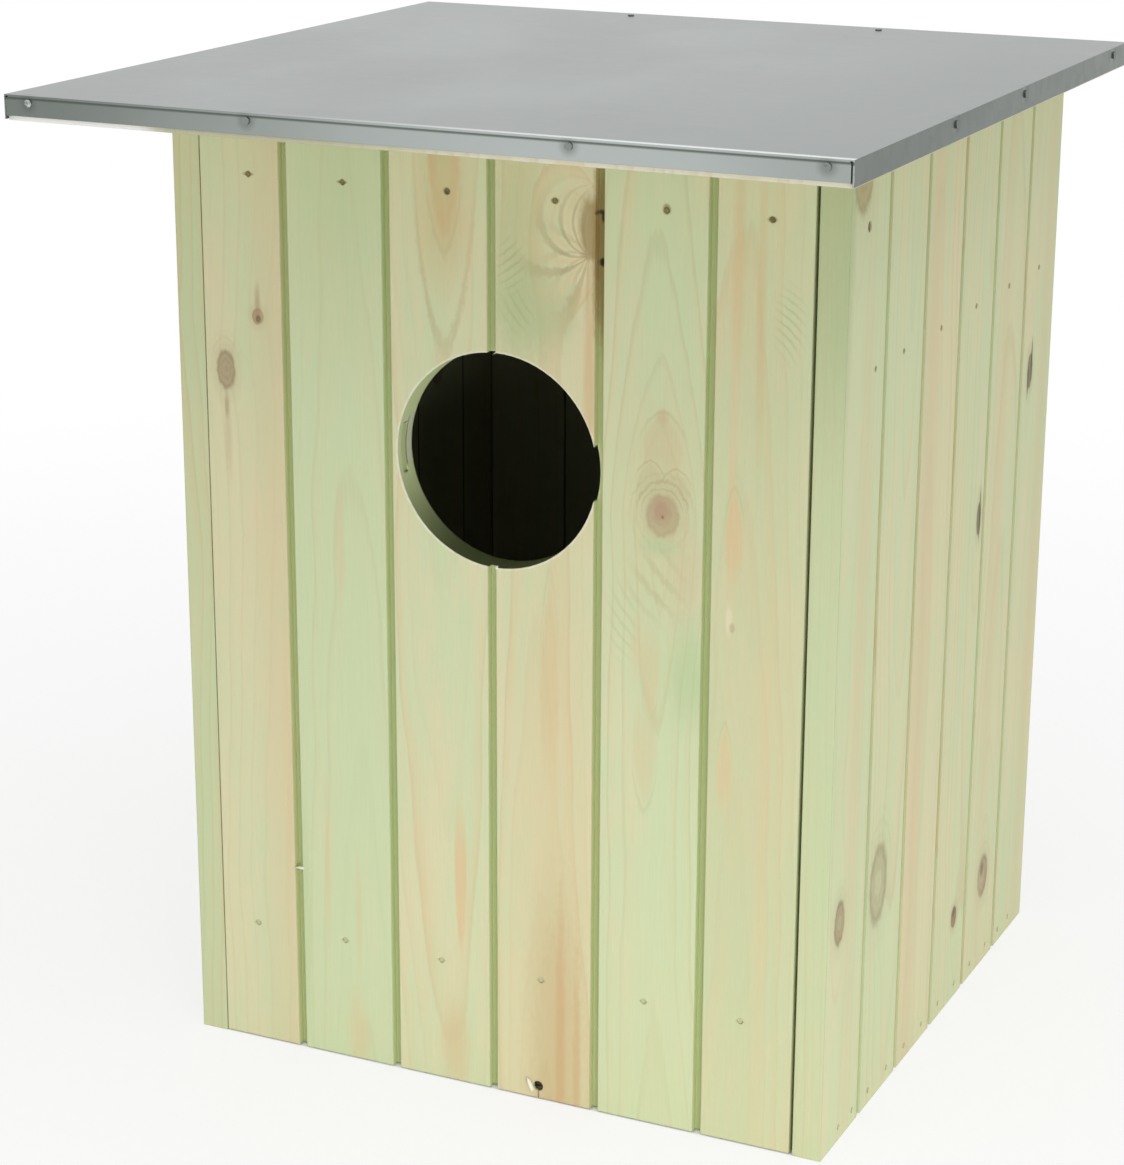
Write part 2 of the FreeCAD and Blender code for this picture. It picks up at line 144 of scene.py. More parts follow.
class Bench:
    """The node tree of a material or of the world, and the means to add nodes to it."""

    def __init__(self, owner: bpy.types.Material | bpy.types.World) -> None:
        """Empty the owner's node tree."""
        owner.use_nodes = True
        self.owner = owner
        self.tree = owner.node_tree
        self.tree.nodes.clear()

    @classmethod
    def of_material(cls, name: str) -> Bench:
        """Start an empty material of that name."""
        return cls(bpy.data.materials.new(name))

    def node(self, kind: str, settings: dict | None = None, sockets: dict | None = None) -> bpy.types.Node:
        """Add one node.

        Args:
            kind: Blender's type of the node.
            settings: Values of the node's own settings, set before its sockets.
            sockets: Values or wires by the name or identifier of an input.

        Returns:
            The new node.
        """
        made = self.tree.nodes.new(kind)
        for key, value in (settings or {}).items():
            setattr(made, key, value)
        for key, value in (sockets or {}).items():
            socket = self._find(made.inputs, key)
            if isinstance(value, Wire):
                self.tree.links.new(value.socket, socket)
            else:
                socket.default_value = value
        return made

    def out(self, kind: str, output: str, settings: dict | None = None, sockets: dict | None = None) -> Wire:
        """Add one node and return one of its outputs.

        Args:
            kind: Blender's type of the node.
            output: Name or identifier of the output.
            settings: Values of the node's own settings.
            sockets: Values or wires by the name or identifier of an input.

        Returns:
            The output as a wire.
        """
        made = self.node(kind, settings, sockets)
        return Wire(self, self._find(made.outputs, output))

    @staticmethod
    def _find(sockets: bpy.types.bpy_prop_collection, key: str) -> bpy.types.NodeSocket:
        """Find a socket by its identifier or, failing that, by its name."""
        return next((socket for socket in sockets if socket.identifier == key), None) or sockets[key]

    def math(self, operation: str, *terms: Wire | float) -> Wire:
        """Add one Math node on the given terms."""
        names = ("Value", "Value_001", "Value_002")
        return self.out("ShaderNodeMath", "Value", {"operation": operation}, dict(zip(names, terms)))

    def distance(self, sideways: Wire, upwards: Wire) -> Wire:
        """Give how far a point lies from where both wires are 0."""
        return self.math("SQRT", sideways * sideways + upwards * upwards)

    def mix(self, share: Wire | float, first: Wire | Colour, second: Wire | Colour,
            blend: str = "MIX") -> Wire:
        """Blend two colours.

        Args:
            share: How much of the second colour is taken, from 0 to 1.
            first: The colour below.
            second: The colour above.
            blend: How the second colour acts on the first.

        Returns:
            The blended colour.
        """
        return self.out("ShaderNodeMix", "Result_Color", {"data_type": "RGBA", "blend_type": blend},
                        {"Factor_Float": share, "A_Color": first, "B_Color": second})

    def place(self, side: Side) -> tuple[Wire, Wire, Wire, Wire]:
        """Give a point's place on one side of the box, in millimetres.

        Args:
            side: The side that the boards belong to.

        Returns:
            The whole place, then its parts across, into and along the boards.
        """
        source = self.out("ShaderNodeTexCoord", "Object")
        parts = self.node("ShaderNodeSeparateXYZ", sockets={"Vector": source})
        ways = []
        for axis, sign, start in side.value:
            ways.append((Wire(self, parts.outputs[axis]) * 1000.0 - start) * sign)
        whole = self.out("ShaderNodeCombineXYZ", "Vector", None, dict(zip("XYZ", ways)))
        return whole, ways[0], ways[1], ways[2]

    def noise(self, place: Wire, lengths: Point, seed: float, detail: float = 2.0) -> Wire:
        """Add soft random patches.

        Args:
            place: The place in millimetres.
            lengths: Length of a patch in each direction.
            seed: Shift that makes one pattern differ from another.
            detail: Number of finer layers.

        Returns:
            A value about 0.5 that goes from about 0 to 1.
        """
        scaled = self.out(
            "ShaderNodeVectorMath", "Vector", {"operation": "MULTIPLY_ADD"},
            {"Vector": place, "Vector_001": tuple(1 / length for length in lengths),
             "Vector_002": (seed, seed * 0.37, seed * 0.73)})
        return self.out("ShaderNodeTexNoise", "Fac", {"noise_dimensions": "3D"},
                        {"Vector": scaled, "Scale": 1.0, "Detail": detail, "Roughness": 0.5})

    def finish(self, sockets: dict, height: Wire, relief: float, easing: float = 0.0) -> bpy.types.Material:
        """Close the material with a surface shader.

        Args:
            sockets: Values or wires of the shader's inputs.
            height: Surface height that is turned into relief.
            relief: Depth of the relief in millimetres.
            easing: Radius of the eased edges in millimetres.

        Returns:
            The finished material.
        """
        bump = {"Strength": 1.0, "Distance": relief * MM, "Height": height}
        if easing:
            bump["Normal"] = self.out("ShaderNodeBevel", "Normal", {"samples": 4}, {"Radius": easing * MM})
        sockets["Normal"] = self.out("ShaderNodeBump", "Normal", None, bump)
        surface = self.out("ShaderNodeBsdfPrincipled", "BSDF", None, sockets)
        self.node("ShaderNodeOutputMaterial", sockets={"Surface": surface})
        return self.owner

    def seen(self) -> Wire:
        """Tell what the camera or a shiny surface sees from what only lights the scene.

        Returns:
            1 for what is seen and 0 for the rest.
        """
        path = self.node("ShaderNodeLightPath")
        rays = [Wire(self, path.outputs[f"Is {kind} Ray"]) for kind in ("Camera", "Glossy", "Transmission")]
        return self.math("MAXIMUM", self.math("MAXIMUM", rays[0], rays[1]), rays[2])


class Side(Enum):
    """The sides of the box: axis, sign and start across, into and along the boards."""

    FRONT = (("X", 1, 0.0), ("Y", 1, -147.5), ("Z", 1, 0.0))
    RIGHT = (("Y", 1, -147.5), ("X", -1, 214.5), ("Z", 1, 0.0))
    LEFT = (("Y", 1, -147.5), ("X", 1, -214.5), ("Z", 1, 0.0))
    BACK = (("X", 1, 0.0), ("Y", -1, 258.5), ("Z", 1, 0.0))
    FLOOR = (("Y", 1, -129.0), ("Z", 1, 0.0), ("X", 1, 0.0))
    ROOF = (("X", 1, 0.0), ("Z", -1, 618.8), ("Y", 1, -258.5))


WHITE = (1.0, 1.0, 1.0, 1.0)
BEIGE = tone(217, 211, 172)
GREEN = tone(203, 214, 172)
ORANGE = tone(218, 197, 155)
CUT_GREEN = tone(194, 206, 147)
EDGE_GREEN = tone(182, 196, 148)
# Dark green of the joint lines on the inner faces, and of the painted shade at the foot of the entrance's
# wall.
JOINT_AND_SHADE_GREEN = tone(66, 74, 40)
LATE_LINE = tone(170, 152, 108)
KNOT_BROWN = tone(158, 134, 104)
KNOT_GREY = tone(170, 154, 120)
KNOT_RED = tone(178, 140, 116)
KNOT_DARK = tone(92, 80, 54)
RESIN = tone(158, 128, 74)
NAIL_DARK = tone(124, 114, 66)
FILLER = tone(206, 206, 168)
NAIL_PALE = tone(166, 163, 120)
PALE_FIBRE = tone(242, 241, 226)


@dataclass(frozen=True)
class Face:
    """A board's face: its bench, a point's place on it in millimetres and a random fray."""

    bench: Bench
    place: Wire
    across: Wire
    depth: Wire
    along: Wire
    ragged: Wire

    def away(self, across: float, up: float, width: float = 1.0, height: float = 1.0) -> tuple[Wire, Wire]:
        """Give how far a point lies beside and above a middle, counted in widths and heights."""
        return (self.across - across) / width, (self.along - up) / height


Layer = tuple[Wire, Colour]


class Paint:
    """Anything that lies on a board's face in layers of colour."""

    in_channel: bool = False

    def layers(self, face: Face) -> list[Layer]:
        """Give the share and the colour of each layer, from the lowest up."""
        raise NotImplementedError

    def lay(self, face: Face, colour: Wire) -> Wire:
        """Lay the layers over a colour.

        Args:
            face: The board's face.
            colour: The colour below.

        Returns:
            The colour with every layer on it.
        """
        for share, tint in self.layers(face):
            colour = face.bench.mix(share, colour, tint)
        return colour


@dataclass(frozen=True)
class Mark(Paint):
    """A blotch, streak or stain on a board, in millimetres on its side of the box."""

    across: float
    up: float
    half_width: float
    half_height: float
    colour: Colour
    strength: float = 0.8
    softness: float = 0.3
    in_channel: bool = False

    def layers(self, face: Face) -> list[Layer]:
        """Give the mark with its frayed edge.

        Args:
            face: The board's face.

        Returns:
            One layer.
        """
        middle = face.away(self.across, self.up, self.half_width, self.half_height)
        reach = face.bench.distance(*middle) + face.ragged * 0.5
        inside = 1.0 - reach.rise(1.0 - self.softness, 1.0 + self.softness)
        return [(inside * self.strength, self.colour)]


@dataclass(frozen=True)
class Knot(Paint):
    """A branch cut through by a board, and the grain that bends round it."""

    across: float
    up: float
    half_width: float
    half_height: float
    colour: Colour
    strength: float = 0.75
    pull: float = -6.0
    pull_width: float = 18.0
    pull_height: float = 60.0
    eddy: float = 0.06
    pointed: bool = False
    rim: float = 0.16
    heart: float = 0.0

    def bend(self, face: Face) -> Wire:
        """Shift the growth rings near the knot.

        Args:
            face: The board's face.

        Returns:
            The shift in millimetres.
        """
        ways = face.away(self.across, self.up, self.pull_width, self.pull_height)
        sideways, upwards = (way * way for way in ways)
        if self.pointed:
            sideways, upwards = (face.bench.math("SQRT", way + 0.01) for way in (sideways, upwards))
        return self.pull * face.bench.math("EXPONENT", 0.0 - sideways - upwards)

    def layers(self, face: Face) -> list[Layer]:
        """Give the stain round the knot, the knot, then its rings, its rim and the eddy above it.

        Args:
            face: The board's face.

        Returns:
            Three layers.
        """
        sideways, upwards = face.away(self.across, self.up, self.half_width, self.half_height)
        reach = face.bench.distance(sideways, upwards) + face.ragged * 0.35
        stain = (1.0 - reach.rise(0.8, 2.2)) * 0.22 * self.strength
        core = (1.0 - reach.rise(0.86, 1.08)) * self.strength
        filled = core * (1.0 - (1.0 - reach.rise(0.1, 0.8)) * self.heart)
        wave = face.bench.math("SINE", reach * 17.0 + face.ragged * 2.0)
        ring = wave.rise(-0.2, 1.0) * core * 0.13
        rim = reach.rise(0.72, 0.96) * (1.0 - reach.rise(0.98, 1.2)) * (self.rim * self.strength)
        brow = 0.25 + upwards.rise(0.0, 0.9) * 0.75
        eddy = wave.rise(-0.4, 1.0) * reach.rise(1.1, 1.3) * (1.0 - reach.rise(1.3, 2.3)) * brow * self.eddy
        return [(stain, self.colour), (filled, self.colour), (ring + rim + eddy, KNOT_DARK)]


@dataclass(frozen=True)
class Burl(Paint):
    """Grain that bows from one end of a branch cut lengthwise to the other."""

    across: float
    up: float
    far_across: float
    far_up: float
    lines: float
    reach: float
    strength: float
    colour: Colour

    def layers(self, face: Face) -> list[Layer]:
        """Give the warm wood between the bowed lines, then the lines.

        Args:
            face: The board's face.

        Returns:
            Two layers.
        """
        near_x, near_y = self.across - face.across, self.up - face.along
        far_x, far_y = self.far_across - face.across, self.far_up - face.along
        turn = face.bench.math("ABSOLUTE", near_x * far_y - near_y * far_x)
        angle = face.bench.math("ARCTAN2", turn, near_x * far_x + near_y * far_y)
        wave = face.bench.math("SINE", angle * self.lines + face.ragged * 1.6)
        reach = face.bench.distance(near_x, near_y)
        fade = (1.0 - reach.rise(self.reach * 0.15, self.reach)) * near_x.rise(-3.0, 3.0)
        between = (0.0 - wave).rise(0.2, 1.0) * fade * self.strength
        return [(between, ORANGE), (wave.rise(0.3, 1.0) * fade * self.strength, self.colour)]


@dataclass(frozen=True)
class Flame(Paint):
    """A pointed tongue of late wood, where a board cuts a growth ring at a slant."""

    across: float
    foot: float
    tip: float
    half_width: float
    colour: Colour
    strength: float = 0.6
    outline: float = 0.2

    def layers(self, face: Face) -> list[Layer]:
        """Give the tongue, then its outline.

        Args:
            face: The board's face.

        Returns:
            Two layers.
        """
        climb = (face.along - self.foot) / (self.tip - self.foot)
        sideways = face.bench.math("ABSOLUTE", face.across - self.across) / self.half_width
        edge = face.bench.math("POWER", sideways, 1.5) + climb * climb + face.ragged * 0.3
        filled = (1.0 - edge.rise(0.5, 1.0)) * climb.rise(-0.9, 0.1) * self.strength
        line = edge.rise(0.84, 0.98) * (1.0 - edge.rise(1.0, 1.16)) * climb.rise(0.0, 0.9)
        return [(filled, self.colour), (line * self.outline, LATE_LINE)]


@dataclass(frozen=True)
class Ripple(Paint):
    """Torn grain: short arcs that lie side by side in one patch of a board."""

    across: float
    up: float
    half_width: float
    half_height: float
    middle_across: float
    middle_up: float
    gap: float
    colour: Colour
    strength: float = 0.3

    def layers(self, face: Face) -> list[Layer]:
        """Give the arcs, which fade out towards the patch's edge.

        Args:
            face: The board's face.

        Returns:
            One layer.
        """
        middle = face.away(self.across, self.up, self.half_width, self.half_height)
        inside = 1.0 - face.bench.distance(*middle).rise(0.2, 1.0)
        out = face.bench.distance(*face.away(self.middle_across, self.middle_up))
        wave = face.bench.math("SINE", out * (math.tau / self.gap) + face.ragged * 3.0)
        return [(wave.rise(0.0, 1.0) * inside * self.strength, self.colour)]


@dataclass(frozen=True)
class SawnHole(Paint):
    """A round hole sawn through boards: pale fibres on its rim, sawn end grain paled by painted light on its
    wall, and painted shade at the wall's foot.
    """

    across: float
    up: float
    radius: float
    groove_up: float = 4.0
    groove_half: float = 16.0
    groove_depth: float = 10.5

    def layers(self, face: Face) -> list[Layer]:
        """Give the rim, the wall, the painted shade at its foot, the groove that the saw laid open and its
        slit.

        Args:
            face: The board's face.

        Returns:
            Five layers.
        """
        sideways, upwards = face.away(self.across, self.up)
        reach = face.bench.distance(sideways, upwards) - self.radius
        inner = face.depth.rise(0.3, 0.8)
        rim = (1.0 - (reach + face.ragged * 2.2).rise(0.2, 1.5)) * (1.0 - inner)
        wall = (1.0 - reach.rise(0.2, 0.6)) * inner
        # The wall darkens towards its foot: painted shade.
        painted_foot_shade = (1.0 - upwards.rise(2.0 - self.radius, -2.0)) * wall
        level = face.bench.math("ABSOLUTE", upwards - self.groove_up) + face.ragged * 5.0
        opened = (1.0 - level.rise(self.groove_half - 3.0, self.groove_half + 1.0)) * wall
        opened = opened * (1.0 - sideways.rise(6.0 - self.radius, 12.0 - self.radius))
        opened = opened * face.depth.rise(5.0, 6.5)
        slit = face.bench.math("ABSOLUTE", face.depth - self.groove_depth) + face.ragged * 1.2
        # The wall's pale tone is sawn end grain with painted light on it.
        return [(rim * 0.55, PALE_FIBRE), (wall * 0.55, tone(224, 236, 182)), (painted_foot_shade * 0.95, JOINT_AND_SHADE_GREEN),
                (opened * 0.7, tone(212, 214, 188)), ((1.0 - slit.rise(0.3, 0.9)) * opened * 0.6, KNOT_DARK)]


@dataclass(frozen=True)
class Grain:
    """Growth rings of a board: the heart of the trunk runs nearly along its length."""

    across: float
    depth: float
    lean: float
    ring: float
    wander: float = 4.0

    @staticmethod
    def of_number(middle: float, number: int) -> Grain:
        """Give a board rings of its own.

        Args:
            middle: The board's middle across its side.
            number: The number that the rings follow from.

        Returns:
            The rings.
        """
        return Grain(
            across=middle + spread(number, -30.0, 30.0), depth=spread(number + 3, 24.0, 48.0),
            lean=spread(number + 7, -0.05, 0.05), ring=spread(number + 5, 4.6, 6.4))


@dataclass(frozen=True)
class TreatedPine:
    """Planed pine, greened by its treatment, with late wood that stays orange and painted shade on its inner
    face.
    """

    name: str
    side: Side
    grain: Grain
    green: float = 0.5
    warmth: float = 0.6
    seed: float = 1.0
    knots: tuple[Knot, ...] = ()
    marks: tuple[Paint, ...] = ()
    sawn: float = 0.0
    bleached: float = 0.0
    lined: float = 1.0
    hole: SawnHole | None = None
    seams: tuple[float, ...] = ()
    painted_inner_shade: float = 0.44
    relief: float = 0.16
    easing: float = 1.1

    def rings(self, face: Face) -> Wire:
        """Count growth rings outward from the heart.

        Args:
            face: The board's face.

        Returns:
            The number of rings, with parts of a ring as decimals.
        """
        bench, grain = face.bench, self.grain
        sway = bench.noise(face.place, (400.0, 400.0, 260.0), self.seed + 11.0) - 0.5
        slow = bench.noise(face.place, (70.0, 70.0, 330.0), self.seed + 23.0) - 0.5
        torn = bench.noise(face.place, (1.9, 1.9, 46.0), self.seed + 29.0, 2.0) - 0.5
        sideways = face.across - grain.across + sway * 26.0
        inward = face.along * grain.lean + face.depth + grain.depth
        outward = bench.distance(sideways, inward) + slow * grain.wander * 3.0 + torn
        for knot in self.knots:
            outward = outward + knot.bend(face)
        return outward / grain.ring + self.seed * 0.37

    def make(self) -> bpy.types.Material:
        """Make the board's material.

        Returns:
            The material.
        """
        bench = Bench.of_material(self.name)
        place, across, depth, along = bench.place(self.side)
        ragged = bench.noise(place, (3.0, 3.0, 6.0), self.seed + 13.0, 3.0) - 0.5
        face = Face(bench, place, across, depth, along, ragged)
        count = self.rings(face)
        part = bench.math("FRACT", count)
        chance = bench.out("ShaderNodeTexWhiteNoise", "Value", {"noise_dimensions": "1D"},
                           {"W": bench.math("FLOOR", count) + self.seed})
        patch = bench.noise(place, (34.0, 34.0, 210.0), self.seed + 3.0)
        swell = part.rise(0.18, 0.86) * (1.0 - part.rise(0.9, 1.0))
        late = swell * (0.22 + chance * chance) * patch.rise(0.28, 0.66)
        line = part.rise(0.74, 0.93) * (1.0 - part.rise(0.95, 1.0)) * (0.3 + chance * 0.7)
        hue = bench.noise(place, (26.0, 26.0, 170.0), self.seed + 5.0, 3.0)
        fibre = bench.noise(place, (0.55, 0.55, 26.0), self.seed + 7.0, 3.0)
        fleck = bench.noise(place, (0.5, 0.5, 7.0), self.seed + 9.0, 1.0)
        mottle = bench.noise(place, (10.0, 10.0, 38.0), self.seed + 31.0, 3.0)
        greened = (hue - 0.5) * 1.9 + (mottle - 0.5) * 0.9 + self.green
        colour = bench.mix(greened.rise(0.0, 1.0), BEIGE, GREEN)
        colour = bench.mix(late * self.warmth, colour, ORANGE)
        colour = bench.mix(line * (0.16 * (0.4 + self.warmth) * self.lined), colour, LATE_LINE)
        colour = bench.mix(fleck.rise(0.66, 0.8) * 0.14, colour, LATE_LINE)
        within: Wire | float = 1.0
        cut = 0.85
        if self.side in (Side.RIGHT, Side.LEFT):
            within = across.rise(0.2, 1.2) * (1.0 - across.rise(SIDE_DEPTH - 1.2, SIDE_DEPTH - 0.2))
            cut = 0.6
            colour = bench.mix((1.0 - within) * 0.35, colour, EDGE_GREEN)
        for mark in (*self.knots, *(mark for mark in self.marks if not mark.in_channel)):
            colour = mark.lay(face, colour)
        inside = depth.rise(BOARD - 1.5, BOARD - 0.2)
        colour = bench.mix(depth.rise(0.6, 2.2) * (1.0 - inside) * cut * within, colour, CUT_GREEN)
        for seam in self.seams:
            joint = 1.0 - bench.math("ABSOLUTE", across - seam).rise(0.3, 1.2)
            colour = bench.mix(joint * inside * within * 0.8, colour, JOINT_AND_SHADE_GREEN)
        for mark in (mark for mark in self.marks if mark.in_channel):
            colour = mark.lay(face, colour)
        if self.hole:
            colour = self.hole.lay(face, colour)
        if self.bleached:
            colour = bench.mix(self.bleached, colour, PALE_FIBRE)
        # The inner face is darkened here as painted shade.
        shade = 0.955 + fibre * 0.09 - inside * self.painted_inner_shade * within
        if self.sawn:
            saw = bench.noise(place, (90.0, 90.0, 1.6), self.seed + 17.0, 2.0)
            shade = shade - saw.rise(0.45, 0.75) * 0.06 * self.sawn
        grey = dict.fromkeys(("Red", "Green", "Blue"), shade)
        shading = bench.out("ShaderNodeCombineColor", "Color", None, grey)
        colour = bench.mix(1.0, colour, shading, "MULTIPLY")
        height = late * 0.35 + fibre * 0.6 + fleck * 0.15
        return bench.finish(
            {"Base Color": colour, "Roughness": 0.56 + fibre * 0.2 - late * 0.08, "Specular IOR Level": 0.3},
            height, self.relief, self.easing)


@dataclass(frozen=True)
class RoofPlywood:
    """Thin plywood: pale veneer faces and layered edges."""

    name: str = "roof_plywood"
    plies: float = 5.0
    thickness: float = 14.0
    figure: float = 15.0
    relief: float = 0.12
    easing: float = 0.6

    def make(self) -> bpy.types.Material:
        """Make the material of the roof board.

        Returns:
            The material.
        """
        bench = Bench.of_material(self.name)
        place, across, depth, along = bench.place(Side.ROOF)
        layer = bench.math("FLOOR", (depth - SHEET) / (self.thickness / self.plies))
        odd = bench.math("MODULO", layer + 10.0, 2.0)
        wavy = bench.noise(place, (60.0, 400.0, 420.0), 4.0, 3.0)
        part = bench.math("FRACT", (across + wavy * 150.0) / self.figure)
        arcs = part.rise(0.2, 0.9) * (1.0 - part.rise(0.92, 1.0))
        fibre = bench.noise(place, (0.8, 0.8, 34.0), 8.0, 3.0)
        colour = bench.mix(arcs * 0.45, tone(230, 226, 204), tone(216, 204, 170))
        colour = bench.mix(odd * 0.4, colour, tone(208, 198, 168))
        colour = bench.mix(fibre.rise(0.35, 0.8) * 0.25, colour, tone(200, 188, 154))
        # The front edge is near white towards the left end, as painted light, and duller in its middle.
        front = 1.0 - along.rise(3.0, 5.0)
        inward = across.rise(-170.0, -145.0)
        colour = bench.mix(front * (1.0 - inward) * 0.9, colour, tone(252, 251, 247))
        duller_edge = front * inward * (1.0 - across.rise(-70.0, 60.0))
        colour = bench.mix(duller_edge * 0.8, colour, tone(190, 190, 158))
        # Painted shade where the board's edge shows through the gaps at the sheet's corners.
        seam = bench.math("ABSOLUTE", across).rise(251.0, 252.0) * (1.0 - depth.rise(12.0, 13.0))
        colour = bench.mix(seam * 0.85, colour, tone(52, 54, 50))
        return bench.finish(
            {"Base Color": colour, "Roughness": 0.62 + fibre * 0.18, "Specular IOR Level": 0.3},
            fibre * 0.6 + arcs * 0.3, self.relief, self.easing)


@dataclass(frozen=True)
class GalvanisedSheet:
    """Dull zinc-coated sheet with faint spangles, rolling lines and handling smears, painted light and shade
    on its flanges, painted shade in its dents and under its hem, and a painted highlight along its front
    edge.
    """

    name: str = "galvanised_sheet"
    pale: Colour = tone(148, 154, 153)
    dull: Colour = tone(120, 127, 125)
    # Paler colour of the flanges: painted light.
    bent: Colour = tone(182, 189, 186)
    # Dark grey of the painted shade on the flanges, in the dents and under the hem.
    painted_shade: Colour = tone(82, 90, 81)
    front_nails: tuple[float, ...] = (-239.5, -97.0, 97.0, 239.5)
    side_nails: tuple[float, ...] = (163.0, 292.0, 485.0)
    front_face: float = 1.8
    side_face: float = 254.5
    nail_drop: float = 4.6
    spangle_size: float = 9.0
    relief: float = 0.05
    easing: float = 0.5

    def dents(self, bench: Bench, place: Wire) -> Wire:
        """Find the dents round the nails.

        Args:
            bench: The material's bench.
            place: The whole place.

        Returns:
            1 at the nails and 0 a few millimetres away from them.
        """
        nails = [(run, self.nail_drop, self.front_face) for run in self.front_nails]
        nails += [(side * self.side_face, self.nail_drop, run) for side in (-1, 1) for run in self.side_nails]
        gaps = [bench.out("ShaderNodeVectorMath", "Value", {"operation": "DISTANCE"},
                          {"Vector": place, "Vector_001": nail}) for nail in nails]
        nearest = gaps[0]
        for gap in gaps[1:]:
            nearest = bench.math("MINIMUM", nearest, gap)
        return 1.0 - nearest.rise(1.8, 7.5)

    def make(self) -> bpy.types.Material:
        """Make the sheet's material.

        Returns:
            The material.
        """
        bench = Bench.of_material(self.name)
        place, across, depth, along = bench.place(Side.ROOF)
        cloud = bench.noise(place, (120.0, 60.0, 190.0), 2.0, 4.0)
        rolled = bench.noise(place, (260.0, 30.0, 1.1), 6.0, 2.0)
        smear = bench.noise(place, (38.0, 14.0, 60.0), 12.0, 4.0)
        scaled = bench.out("ShaderNodeVectorMath", "Vector", {"operation": "MULTIPLY"},
                           {"Vector": place, "Vector_001": (1 / self.spangle_size,) * 3})
        spangle = bench.out("ShaderNodeTexVoronoi", "Color", {"feature": "F1"},
                            {"Vector": scaled, "Scale": 1.0})
        flake = bench.out("ShaderNodeSeparateColor", "Red", None, {"Color": spangle})
        clouded = cloud.rise(0.25, 0.75) * (1.0 - across.rise(30.0, 250.0) * 0.8)
        colour = bench.mix(clouded, self.dull, self.pale)
        colour = bench.mix(flake * 0.12, colour, tone(206, 211, 210))
        colour = bench.mix(smear.rise(0.6, 0.78) * 0.2, colour, tone(150, 156, 152))
        normal = bench.out("ShaderNodeTexCoord", "Normal")
        facing = bench.node("ShaderNodeSeparateXYZ", sockets={"Vector": normal})
        to_side = bench.math("ABSOLUTE", Wire(bench, facing.outputs["X"])).rise(0.6, 0.9)
        to_front = (0.0 - Wire(bench, facing.outputs["Y"])).rise(0.6, 0.9)
        # The flanges get the paler painted light, then painted shade: darker towards the front's left end and
        # all over the side flanges.
        colour = bench.mix(to_front + to_side, colour, self.bent)
        flange_shade = (1.0 - (across + cloud * 90.0).rise(-250.0, 130.0)) * 0.74
        flange_shade = flange_shade + across.rise(150.0, 250.0) * 0.22
        colour = bench.mix(to_front * flange_shade + to_side * 0.88, colour, self.painted_shade)
        # Painted shade in the dents round the nails.
        dent = self.dents(bench, place)
        colour = bench.mix(dent * 0.4, colour, self.painted_shade)
        # Painted shadow under the front hem.
        hem_shadow = to_front * depth.rise(0.9, 1.6) * (1.0 - depth.rise(2.2, 3.4))
        colour = bench.mix(hem_shadow * 0.8, colour, self.painted_shade)
        # Painted highlight along the top's front edge, brighter towards the right.
        glint = (1.0 - to_front - to_side) * (1.0 - along.rise(3.6, 5.6)) * across.rise(-130.0, 140.0)
        colour = bench.mix(glint * 0.8, colour, tone(238, 242, 240))
        roughness = 0.22 + cloud * 0.1 + flake * 0.05 + rolled * 0.05
        return bench.finish(
            {"Base Color": colour, "Metallic": 1.0, "Roughness": roughness},
            rolled * 0.3 + flake * 0.2 + smear * 0.4 - dent * 5.0, self.relief, self.easing)


@dataclass(frozen=True)
class SteelFixing:
    """Steel of nails, pins and the screw, dulled by weather and resin, with painted shade on every zinc nail
    but the front's leftmost one.
    """

    name: str
    bright: Colour
    dark: Colour
    roughness: float = 0.42
    metallic: float = 0.8
    filled_below: float = 0.0
    painted_nail_shade: bool = False
    relief: float = 0.05

    def make(self) -> bpy.types.Material:
        """Make the material of one kind of fixing, with wood filler over heads below a level.

        Returns:
            The material.
        """
        bench = Bench.of_material(self.name)
        place, across, depth, along = bench.place(Side.FRONT)
        dull = bench.noise(place, (2.4, 2.4, 2.4), 3.0, 4.0)
        grain = bench.noise(place, (0.4, 0.4, 0.4), 5.0, 2.0)
        share = dull.rise(0.35, 0.7)
        # Every zinc nail but the front's leftmost is darkened as painted shade.
        if self.painted_nail_shade:
            nail_shade = bench.math("MAXIMUM", depth.rise(-60.0, 0.0), across.rise(-235.0, -200.0) * 0.75)
            share = bench.math("MAXIMUM", share, nail_shade)
        colour = bench.mix(share, self.bright, self.dark)
        bare: Wire | float = 1.0
        if self.filled_below:
            bare = along.rise(self.filled_below - 20.0, self.filled_below + 20.0)
            colour = bench.mix(1.0 - bare, colour, FILLER)
        sockets = {"Base Color": colour, "Metallic": bare * self.metallic,
                   "Roughness": self.roughness + grain * 0.2}
        return bench.finish(sockets, grain, self.relief)


